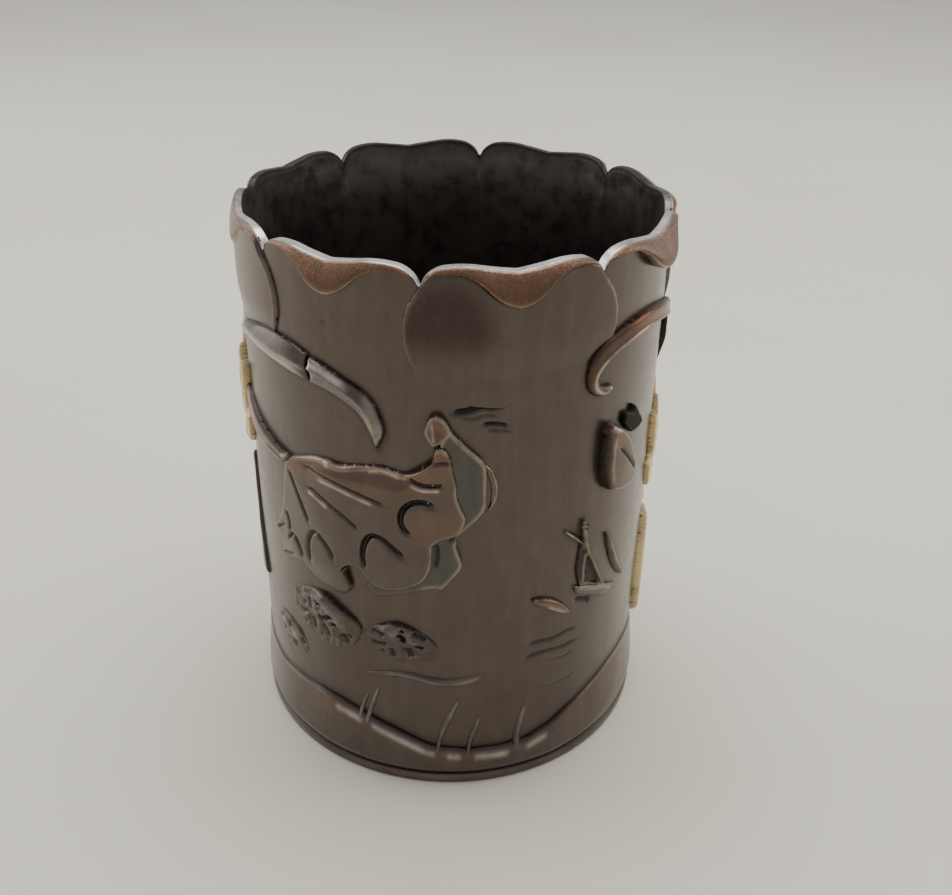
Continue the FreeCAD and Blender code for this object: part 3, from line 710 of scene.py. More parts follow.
# ------------------------------------------------------------------ rim line
RIM_HALF = [(0, -1.1), (0.28, -0.5), (0.45, -0.1), (0.57, 0), (0.69, -0.1), (0.82, -0.55),
            (0.94, -1.9), (1, -3.7)]
DRAWN_NOTCH = 3.7  # depth of the notch as drawn
LIP_FALL = [(0, 0.06, 0.13, 0.2, 0.26, 0.32, 0.38, 0.45, 0.52, 0.6, 0.7, 0.85, 1.0),
            (1, 0.99, 0.95, 0.87, 0.76, 0.62, 0.48, 0.36, 0.27, 0.21, 0.17, 0.13, 0.03)]


def rim_drop(az, sizes):
    """How far the rim lies below its highest points, at each azimuth."""
    t = (np.asarray(az, float) - sizes.petal_turn + PETAL_STEP / 2) % PETAL_STEP / PETAL_STEP
    t = np.abs(t * 2 - 1)
    line = curve(RIM_HALF, 0.02)
    order = np.argsort(line[:, 0])
    drop = np.interp(t, line[order, 0], line[order, 1])
    return np.minimum(drop, 0) * sizes.notch_depth / MM / DRAWN_NOTCH


# ------------------------------------------------------------------ wall, plate, foot and bank
MARKS = [
    ([(-0.5, 87.6), (2.5, 88.0), (5, 88.9), (7, 88.7), (10, 89.6)], 0.55, 0.75),
    ([(26.2, 41.8), (28.5, 40.7), (31, 39.6)], 0.75, 0.55),
    ([(1, 86.9), (3.5, 86.6), (5.5, 87.2), (8, 87)], 0.3, 0.22),
    ([(5, 85.3), (7.5, 85.3), (10, 84.6)], 0.36, 0.5),
    ([(6, 84.4), (8, 84), (10.6, 83.6)], 0.3, 0.25),
    ([(15, 33.8), (18, 34.3), (21, 33.9), (25, 34.4), (28, 34.2)], 0.38, 0.34),
    ([(15.2, 29.4), (16.2, 31), (20, 31.2), (24, 30.7), (28.5, 31.2)], 0.42, 0.34),
    ([(20, 28.7), (24, 28.1), (27, 28.6)], 0.35, 0.16),
    ([(18, 22), (23, 21.6), (28, 22.3)], 0.35, 0.16),
    ([(-24, 102.2), (-23, 101.9)], 0.25, 0.2), ([(-21.6, 103.2), (-21, 103)], 0.2, 0.2),
    ([(92, 34), (98, 34.6), (105, 34)], 0.4, 0.3), ([(96, 31), (102, 30.6), (109, 31)], 0.4, 0.3),
    ([(-112, 33), (-105, 33.6), (-97, 33)], 0.4, 0.3),
]
FINE_PLACES = [((-2, 82.3), (11.5, 90.6)), ((14, 27.2), (32.5, 42.4)), ((16.5, 20.8), (29, 23.6))]
BANK_TOP = [
    (-132, 14.5), (-121, 12), (-110, 10.2), (-99, 10.8), (-88, 13.5), (-77, 16.4), (-66, 17.4),
    (-55, 16.4), (-45, 15.6), (-35, 16.6), (-26, 17), (-18, 15.6), (-10, 12.9), (-4, 10.2),
    (3, 9.1), (13, 9), (20, 10.6), (28, 14.3), (36, 17.3), (45, 19), (56, 18), (67, 14.4),
    (78, 11), (88, 10.2), (98, 12), (108, 15.2), (119, 16.6), (126, 16), (131.9, 14.5)]


def bank_top(u):
    line = curve([(u0 - ROUND, z) for u0, z in BANK_TOP[-4:-1]] + BANK_TOP
                 + [(u0 + ROUND, z) for u0, z in BANK_TOP[1:4]], 1.0)
    return np.interp(u, line[:, 0], line[:, 1])


def polar_of(co):
    """Azimuth (degrees) and radius (mm) of each point."""
    return np.degrees(np.arctan2(co[:, 0], -co[:, 1])), np.hypot(co[:, 0], co[:, 1]) / MM


class POT_OT_wall(bpy.types.Operator):
    """The open tube with its lobed rim and engraved ripples"""
    bl_idname = "brushpot.wall"
    bl_label = "Wall and rim"

    def execute(self, context):
        s = context.scene.pot_sizes
        r, t, h = s.wall_radius / MM, s.wall_thickness / MM, s.height / MM
        outer = [(r, z) for z in np.arange(0.35, h - 0.6, 0.62)]
        rounded = [(r, h - 0.32), (r - 0.07, h - 0.12), (r - 0.3, h)]
        flat = [(r - t * k, h) for k in (0.3, 0.5, 0.7)]
        inner = [(r - t + 0.3, h), (r - t + 0.08, h - 0.1), (r - t, h - 0.35)]
        down = [(r - t, z) for z in (h - 1.5, h - 4, h - 8, h - 14, h - 24, h - 40, h - 60, h - 80,
                                     8)]
        seat = [(r - t, 3.6), (r - t + 1.2, 3.6), (r - t + 1.2, 0.1), (r - 0.3, 0.1)]
        profile = outer + rounded + flat + inner + down + seat + [outer[0]]
        start = s.petal_turn - PETAL_STEP / 2
        wall = lathe("Pot_wall", profile, s.wall_steps, start)
        for low, high in FINE_PLACES:
            self.refine(wall, low, high)
        co = points_of(wall)
        az, radius = polar_of(co)
        z = co[:, 2] / MM
        lift = ease((z - (h - 17)) / 17)
        face = (z > h - 0.02) & (radius > r - t) & (radius < r)
        inside = radius < r - t + 0.05
        co[:, 2] += rim_drop(az, s) * lift * MM
        turned = np.abs((az + 180) % 360 - 180)
        thin = (0.35 + 0.75 * ease((turned - 35) / 40)) * ease((z - (h - 12)) / 12)
        thin *= np.clip((r - radius) / t, 0, 1)
        co[:, :2] *= ((radius + thin) / radius)[:, None]
        radius = radius + thin
        outside = radius > r - 0.05
        at = np.column_stack([np.radians(az) * GRID_R, z])
        sunk = np.zeros(len(co))
        for line, width, depth in MARKS:
            gap, _, share = nearest(at[outside], curve(line))
            fade = ease(np.sin(np.pi * np.clip(share, 0.04, 0.96)) * 2)
            sunk[outside] = np.maximum(sunk[outside], np.exp(-(gap / width) ** 2) * depth * fade)
        wave = ripple(at, 22.0, 3) * 0.05 * outside * (1 - ease((z - 100) / 8))
        scale = (radius - sunk + wave) / radius
        co[:, 0] *= scale
        co[:, 1] *= scale
        move_points(wall, co)
        # painted shade: the wall darkens close to every relief's outline, standing in for ambient
        # occlusion
        shade_and_grime = np.zeros(len(co))
        rows = np.flatnonzero(outside & (z < h - 1))
        for shape, amount in pot_outlines:
            near = rows[(np.abs(at[rows, 0] - shape[:, 0].mean()) < np.ptp(shape[:, 0]) / 2 + 4)
                        & (np.abs(at[rows, 1] - shape[:, 1].mean()) < np.ptp(shape[:, 1]) / 2 + 4)]
            if len(near):
                gap, _, _ = nearest(at[near], shape[::2], ring=True)
                shade_and_grime[near] = np.maximum(shade_and_grime[near], amount * np.exp(-(gap / 0.7) ** 2))
        # painted shadow line: the wall darkens just above the pond bank's top edge
        low = np.exp(-np.maximum(z - bank_top(at[:, 0]), 0) / 0.9) * 0.85 * outside
        # painted highlight on the rim's flat top face at the front, fading towards the back, where
        # the top face and inner edge get painted shade instead; the inside wall is lightened a
        # little
        rear = ease((turned - 62) / 45)
        # the engraved marks darken too: dirt and painted shade in them
        mark(wall, "dark", np.maximum.reduce([shade_and_grime, low, sunk * 1.9,
                                              rear * (z > h - 0.5) * (radius < r - 0.1) * 0.93]))
        mark(wall, "wear_and_highlight", np.maximum(face * 0.95 * (1 - rear), inside * 0.12))
        stain = np.exp(-(((at[:, 0] + 1) / 6.5) ** 2 + ((z - 97) / 6.5) ** 2)) * 0.5 * outside
        mark(wall, "stained", stain)
        finished(wall, wall_metal(), "wall", "wall", angle=50)
        return {"FINISHED"}

    @staticmethod
    def refine(wall, low, high):
        """Divides the outside faces between two corners (u, z) finely, for engraved lines."""
        size = len(wall.data.polygons)
        middle = np.empty(size * 3)
        wall.data.polygons.foreach_get("center", middle)
        middle = middle.reshape(-1, 3)
        az, radius = polar_of(middle)
        u, z = np.radians(az) * GRID_R, middle[:, 2] / MM
        outside = radius > bpy.context.scene.pot_sizes.wall_radius / MM - 0.05
        select(wall, outside & (u > low[0]) & (u < high[0]) & (z > low[1]) & (z < high[1]),
               "polygons")
        bpy.ops.mesh.subdivide(number_cuts=2)
        bpy.ops.object.mode_set(mode="OBJECT")


# painted highlights on the bank's rounded top: centre and half width, along the wall, of each
# bright piece
BANK_HIGHLIGHTS = ((-21.5, 3.6), (-9.6, 7.0), (0.8, 1.9), (8.6, 4.0), (18.4, 2.8), (88, 7), (112, 5),
               (-96, 6), (-121, 7))


class POT_OT_base(bpy.types.Operator):
    """The base plate, the foot ring and the pond bank above its groove"""
    bl_idname = "brushpot.base"
    bl_label = "Base plate, foot ring and bank"

    def execute(self, context):
        s = context.scene.pot_sizes
        f = context.scene.pot_finish
        r = s.wall_radius / MM
        low, top = PLATE_LOW[2] / MM, PLATE_HIGH[2] / MM
        plate_r = PLATE_HIGH[0] / MM
        under = [(0.02, low + 0.25), (14, low + 0.25), (14.6, low + 0.05), (15.4, low + 0.05),
                 (16, low + 0.22), (plate_r - 3, low + 0.15), (plate_r - 2.4, low),
                 (plate_r - 0.3, low), (plate_r, low + 0.3)]
        upper = [(plate_r, top - 0.05), (plate_r - 0.4, top), (30, top), (18, top - 0.02),
                 (6, top - 0.03), (0.02, top - 0.04)]
        plate = lathe("Base_plate", under + upper, 192)
        co = points_of(plate)
        _, radius = polar_of(co)
        # painted shade: the plate darkens towards the corner where it meets the wall
        mark(plate, "dark", 0.25 + 0.6 * ease((radius - 30) / 9))
        mark(plate, "wear_and_highlight", np.zeros(len(co)))
        finished(plate, metal("Dull base bronze", f.inside, f.bronze, gloss=0.45, staining=0.6,
                              pitting=0.4, bump=0.4), "base_plate", "base_plate", angle=40)

        fh, fo = s.foot_height / MM, s.foot_out / MM
        ring = [(r - 0.25, 0), (r + fo * 0.45, 0), (r + fo * 0.82, fh * 0.08), (r + fo, fh * 0.28),
                (r + fo, fh * 0.62), (r + fo * 0.84, fh * 0.86), (r + fo * 0.5, fh * 0.98),
                (r - 0.25, fh), (r - 0.25, 0)]
        foot = lathe("Foot_ring", [tuple(p) for p in curve(ring[1:-2], 0.16)] + ring[-2:]
                     + [ring[1]], 384)
        co = points_of(foot)
        az, radius = polar_of(co)
        z = co[:, 2] / MM
        at = np.column_stack([np.radians(az) * GRID_R, z])
        edge = np.exp(-((z - fh * 0.6) / 0.7) ** 2) * (radius > r + fo * 0.7)
        mark(foot, "wear_and_highlight", edge * (0.35 + 0.35 * ripple(at, 9.0, 5)))
        # painted shade: the foot ring darkens towards its top, in the groove under the bank, and on
        # its inner face
        mark(foot, "dark", np.maximum(ease((z - fh * 0.78) / 0.5), (radius < r) * 1.0) * 0.9)
        finished(foot, metal("Foot bronze", f.bronze, (0.21, 0.15, 0.11), gloss=0.36, staining=0.7),
                 "foot_ring", "foot_ring", angle=60)

        rows = 44
        z0, out = s.bank_bottom / MM, s.bank_out / MM
        flat = [(r - 0.35, 20.0)] + [(r, 20.0 - k * 0.3) for k in range(rows)] + [(r - 0.35,
                20 - rows * 0.3)]
        bank = lathe("Pond_bank", flat + [flat[0]], 528)
        co = points_of(bank)
        az, radius = polar_of(co)
        row = np.clip((20.0 - co[:, 2] / MM) / 0.3, 0, rows - 1) / (rows - 1)
        u = np.radians(az) * GRID_R
        top = bank_top(u)
        uneven = 0.22 * ripple(np.column_stack([u, u * 0]), 7.0, 8)
        down = row ** 1.35 * (top - z0)
        z = top - down + uneven * np.exp(-down / 3)
        ledge = ease((34 - np.abs(u + 1)) / 12)
        rise = np.sqrt(np.clip(1 - (1 - np.clip(down / 2.3, 0, 1)) ** 2, 0, 1))
        slope = 0.16 + 0.84 * np.clip(down / 11.5, 0, 1) ** 0.8
        slope *= np.clip(down / 0.5, 0, 1)
        toe = 1 - 0.25 * ease((z0 + 1.3 - z) / 1.3)
        swell = out * toe * (ledge * rise + (1 - ledge) * slope * 0.9)
        swell *= 0.95 + 0.05 * ripple(np.column_stack([u, z]), 11.0, 9)
        new_r = np.where(radius < r - 0.2, r - 0.35, r - 0.02 + np.minimum(swell, out))
        a = np.radians(az)
        move_points(bank, np.column_stack([new_r * np.sin(a), -new_r * np.cos(a), z]) * MM)
        # painted highlight: a broken bright band just below the bank's top edge and a faint line on
        # its crest at the sides; the bank metal's pale rub colour is this highlight's colour
        pieces = sum(ease((half - np.abs(u - at)) / 1.2) for at, half in BANK_HIGHLIGHTS)
        bright = np.exp(-((down - 1.7) / 0.75) ** 2) * np.minimum(pieces, 1) * 0.78
        broken = 0.8 + 0.35 * ripple(np.column_stack([u, z]), 7.0, 12)
        crest = np.exp(-((down - 0.8) / 0.45) ** 2) * (1 - ledge) * 0.25
        mark(bank, "wear_and_highlight", np.maximum(bright * broken, crest))
        # painted shade: a dark line along the bank's top edge against the wall, and dark in the
        # groove above the foot ring
        mark(bank, "dark", np.maximum(np.exp(-(down / 0.4) ** 2), ease((z0 + 1.0 - z) / 1.0)) * 0.8)
        reddish = np.exp(-((u + 27) / 7.0) ** 2) * np.exp(-((down - 2.6) / 2.4) ** 2)
        coppery = np.exp(-((u - 43) / 6) ** 2) * np.exp(-((down - 4) / 3) ** 2)
        mark(bank, "stained", 0.85 * np.maximum(reddish, coppery))
        finished(bank, metal("Bank bronze", f.bronze, (0.42, 0.38, 0.36), gloss=0.28, staining=0.6,
                             stain=(0.105, 0.062, 0.048), bump=0.14), "bank", "bank")
        return {"FINISHED"}


class POT_OT_rim(bpy.types.Operator):
    """The lapped rim petals and the rolled lip in the middle of each petal"""
    bl_idname = "brushpot.rim"
    bl_label = "Rim petals and lips"

    def execute(self, context):
        s = context.scene.pot_sizes
        half = GRID_R * math.radians(PETAL_STEP / 2)
        for i in range(0, PETALS, 2):
            u0 = GRID_R * math.radians(s.petal_turn + PETAL_STEP * i)
            t = np.linspace(0.985, -0.985, 41)
            z = GRID_H + rim_drop(s.petal_turn + t * PETAL_STEP / 2, s) - 0.02
            top = list(zip(u0 + t * half, z))
            right = [(half + 0.4, 110.0), (half + 2.6, 107), (half + 3.9, 103), (half + 3.7, 99),
                     (half + 1.6, 94.5)]
            foot = [(half * 0.6, 90.2), (0, 88.2), (-half * 0.6, 89.4), (-half + 0.6, 92.2)]
            left = [(-half - 1.9, 96.5), (-half - 2.9, 102), (-half - 2.3, 106.5),
                    (-half - 0.4, 110.0)]
            shape = closed([(u0 + u, z) for u, z in reversed(left)],
                           [(u0 + u, z) for u, z in reversed(foot)],
                           [(u0 + u, z) for u, z in reversed(right)], top)
            petal = Relief("Lapped_petal_%d" % (i // 2 + 1), [shape], cell=0.36, seed=20 + i)
            pot_outlines.pop()
            show = ease((petal.z - 92.5) / 8)
            thick = -0.08 + (s.petal_lap / MM + 0.08) * show
            e = np.clip(petal.deep / 0.5, 0, 1)
            petal.out = thick * (0.25 + 0.75 * np.sqrt(1 - (1 - e) ** 2))
            t = (petal.u - u0) / half
            roll = GRID_H + rim_drop(s.petal_turn + t * PETAL_STEP / 2, s)
            roll = roll - s.lip_drop / MM * np.interp(np.abs(t), LIP_FALL[0], LIP_FALL[1])
            under = ease((petal.z - roll + 0.1) / 0.5) * (np.abs(t) < 0.97)
            petal.out = petal.out * (1 - under) - 0.1 * under
            line = np.exp(-((petal.deep - 0.3) / 0.28) ** 2) * ease((petal.z - 95) / 7)
            side = ease((110.5 - petal.z) / 2)
            petal.wear_and_highlight = line * (0.1 + 0.55 * side)
            piece = petal.cast(metal("Petal bronze", context.scene.pot_finish.bronze,
                                     (0.40, 0.33, 0.28), gloss=0.29, staining=0.3, bump=0.12),
                               "petal", "petal_%d" % (i // 2 + 1), wear=0.1, low=-0.1)
            co = points_of(piece)
            az, _ = polar_of(co)
            off = (az - (s.petal_turn + PETAL_STEP * i) + 180) % 360 - 180
            z = co[:, 2] / MM
            stain = ease((4.3 - np.hypot((off + 17.0) / 3.6, (z - 101.5) / 3.3)) / 2.4)
            fade = ease((z - 95.5) / 8)
            mark(piece, "stained", stain * (0.45 + 0.55 * fade) * (1.0 if i == 0 else 0.4))
            if i == 0:
                rows = np.zeros(len(co))
                rows[:len(petal.at)] = np.maximum(petal.dark, (stain * fade)[:len(petal.at)] * 0.58)
                mark(piece, "dark", rows)
        for i in range(PETALS):
            self.lip(s, i)
        return {"FINISHED"}

    def lip(self, s, i):
        """One lip: sections of a roll that dies away towards both humps of its petal."""
        across, around = 96, 44
        only_none()
        bpy.ops.mesh.primitive_grid_add(x_subdivisions=across, y_subdivisions=around, size=1)
        lip = bpy.context.object
        lip.name = lip.data.name = "Rolled_lip_%d" % (i + 1)
        flat = points_of(lip)[:, :2] + 0.5
        section = curve([(-0.5, 0.0), (0.04, 0.0), (0.28, -0.10), (0.56, -0.30), (0.80, -0.54),
                         (0.93, -0.74), (0.92, -0.88), (0.74, -0.975), (0.42, -1.01),
                         (0.06, -1.0), (-0.5, -0.95)], 0.02)
        run = np.concatenate([[0], np.cumsum(np.linalg.norm(np.diff(section, axis=0), axis=1))])
        where = flat[:, 1] * run[-1]
        sx, sy = np.interp(where, run, section[:, 0]), np.interp(where, run, section[:, 1])
        t = flat[:, 0] * 2 - 1
        bell = np.interp(np.abs(t), LIP_FALL[0], LIP_FALL[1])
        lean = np.interp(np.abs(t - 0.05 * math.sin(i * 2.3)), LIP_FALL[0], LIP_FALL[1])
        az = s.petal_turn + PETAL_STEP * i + t * 0.96 * PETAL_STEP / 2
        out = (s.lip_out / MM * np.maximum(bell ** 0.62, 0.10)
               * np.clip((1 - np.abs(t)) * 12, 0.05, 1))
        side = np.sin(np.radians(az))
        out = out * (1 + np.where(side > 0, 0.85, 0.35) * side)
        drop = s.lip_drop / MM * np.maximum(0.5 * (bell + lean), 0.04)
        top = s.height / MM + rim_drop(az, s) - 0.06
        r = s.wall_radius / MM + np.where(sx > 0, sx * out, sx)
        a = np.radians(az)
        z = top + sy * drop
        move_points(lip, np.column_stack([r * np.sin(a), -r * np.cos(a), z]) * MM)
        # painted highlights: a thin bright line along the lip's lower edge and a band along its
        # brow at the rim
        edge = np.exp(-((sy + 0.965) / 0.05) ** 2) * (sx > 0.4)
        brow = np.exp(-(sx / 0.14) ** 2) * (sy > -0.3) * 0.6
        mark(lip, "wear_and_highlight", np.maximum(edge * 0.9, brow))
        # painted shade under the lip's lower edge; the soft patch across the middle is patina
        mark(lip, "dark", np.maximum((sx < 0.4) * (sy < -0.97) * 0.9,
                                     0.25 * np.exp(-((t - 0.1) / 0.3) ** 2) * (sy < -0.2)))
        # the lower part takes the red stain: partly stain, partly painted shade below the paler,
        # reflecting upper part
        mark(lip, "stained", ease((-0.35 - sy) / 0.5) * 0.6)
        only(lip)
        bpy.ops.object.mode_set(mode="EDIT")
        bpy.ops.mesh.select_mode(type="EDGE")
        bpy.ops.mesh.select_all(action="DESELECT")
        bpy.ops.mesh.select_non_manifold(extend=False)
        bpy.ops.mesh.edge_face_add()
        bpy.ops.mesh.select_all(action="SELECT")
        bpy.ops.mesh.normals_make_consistent(inside=False)
        bpy.ops.object.mode_set(mode="OBJECT")
        finished(lip, lip_metal(), "lip", "lip_%d" % (i + 1), angle=60)


# ------------------------------------------------------------------ reliefs at the front
class POT_OT_reeds(bpy.types.Operator):
    """The drooping reed at the left and the hooked reed at the right"""
    bl_idname = "brushpot.reeds"
    bl_label = "Upper reeds"

    def execute(self, context):
        out = context.scene.pot_sizes.reed_out / MM
        stalk = closed(
            [(-35, 96.6), (-31, 96), (-27.2, 94.9)], [(-27.0, 89.6)],
            [(-31, 90), (-35, 90.5), (-40, 90.8), (-46, 90.8), (-52, 89.6), (-57, 87)],
            [(-52, 92.8), (-46, 95), (-40, 96.4), (-35, 96.6)])
        piece = Relief("Reed_left_stalk", [stalk], shade_and_grime=0.4)
        piece.roof([(-57, 88), (-52, 91.8), (-45, 93.6), (-38, 93.8), (-32, 93.2), (-26.6, 92.4)],
                   0.6, out, curve_up=0.8)
        piece.out *= 0.45 + 0.55 * ease((piece.u + 56) / 16)
        piece.wear_and_highlight *= 0.45
        lower = ease((93 - piece.z) / 1.2) * ease((-29 - piece.u) / 3)
        piece.rub_and_highlight(lower * 0.30)
        piece.cast(reed_metal(), "reed", "reed_left_stalk", wear=0.3)
        tip = closed(
            [(-20.6, 92.6), (-16.8, 91.0), (-14.4, 89.2), (-12.8, 86.5), (-11.9, 83.0),
             (-13.3, 79.2)],
            [(-14.8, 82.6), (-16.6, 85.6), (-19.6, 87.7), (-23.2, 89.0), (-26.7, 89.5)],
            [(-26.9, 94.6)], [(-24, 93.9), (-20.6, 92.6)])
        piece = Relief("Reed_left_tip", [tip], cell=0.2, shade_and_grime=0.5)
        piece.roof([(-27.4, 92.9), (-24, 92.2), (-20, 90.6), (-16.6, 88.6), (-14.2, 85.8),
                    (-13.0, 81)],
                   0.6, out, curve_up=0.8)
        upper = ease((piece.u + 27.4) / 2) * ease((-17.5 - piece.u) / 3)
        gap, _, _ = nearest(piece.at, curve([(-26.4, 93.6), (-23.5, 92.9), (-20, 91.5),
                                             (-18, 90.4)]))
        piece.wear_and_highlight *= 0.35
        # painted highlight: a narrow bright line along the tip's upper edge
        piece.rub_and_highlight(np.exp(-(gap / 0.48) ** 2) * upper)
        lower = ease((piece.u + 16.5) / 2)
        piece.rub_and_highlight(lower * 0.25)
        gap, _, _ = nearest(piece.at, curve([(-18.4, 90.4), (-15.8, 88.6), (-13.8, 85.6)]))
        piece = piece.cast(reed_metal(), "reed", "reed_left_tip", wear=0.3)
        mark(piece, "stained", np.tile(np.exp(-(gap / 0.9) ** 2), 2))
        hooked = closed(
            [(24.9, 91.2), (25.5, 94.2), (27.8, 96.8), (31.4, 98.2), (35.4, 99.4), (40, 99.9),
             (46, 99.4), (52, 98.0), (58, 96.2), (65.5, 93.4)],
            [(64.8, 90.2)],
            [(57, 92.9), (50, 94.8), (44, 96.0), (38, 96.0), (32.6, 94.8), (29.4, 93.0),
             (27.6, 90.9), (28.0, 89.2)],
            [(29.4, 88.6), (31.0, 88.5)], [(31.4, 87.4), (29.6, 86.7), (27.2, 87.1), (25.4, 88.8),
                                           (24.9, 91.2)])
        piece = Relief("Reed_right", [hooked], cell=0.2, shade_and_grime=0.3)
        piece.slab(out * 0.72, edge=0.9, floor=0.15)
        piece.ridge([(30.6, 87.9), (28.8, 87.3), (26.9, 88.7), (26.4, 90.7), (27.4, 92.6),
                     (29.6, 94.2), (33, 95.6), (38, 96.7), (44, 96.6), (50, 95.4), (57, 93.5),
                     (64.4, 90.9)], 0.30, 0.35, wear_and_highlight=0.85, fade=False)
        piece.out *= 0.75 + 0.25 * ease((piece.u - 30) / 8)
        rust = metal("Hooked reed copper", (0.066, 0.043, 0.032), (0.50, 0.43, 0.36), gloss=0.30,
                     staining=0.3, stain=(0.115, 0.045, 0.021), wax=0.12)
        cast = piece.cast(rust, "reed", "reed_right", wear=0.08, line=0.15)
        mark(cast, "stained", np.tile(ease((piece.u - 31) / 8), 2))
        drop = closed([(60.2, 92), (64.8, 90.8)], [(66.2, 86.4), (63.6, 80.4)],
                      [(60.9, 81.6), (59.4, 87), (60.2, 92)])
        piece = Relief("Reed_right_tip", [drop], cell=0.2, shade_and_grime=0.4)
        piece.slab(1.35, edge=0.7, floor=0.2)
        piece.out *= 0.25 + 0.75 * ease((piece.z - 80.5) / 7)
        piece.dark = piece.dark + 0.8
        piece.cast(rust, "reed", "reed_right_tip", wear=0.2)
        return {"FINISHED"}


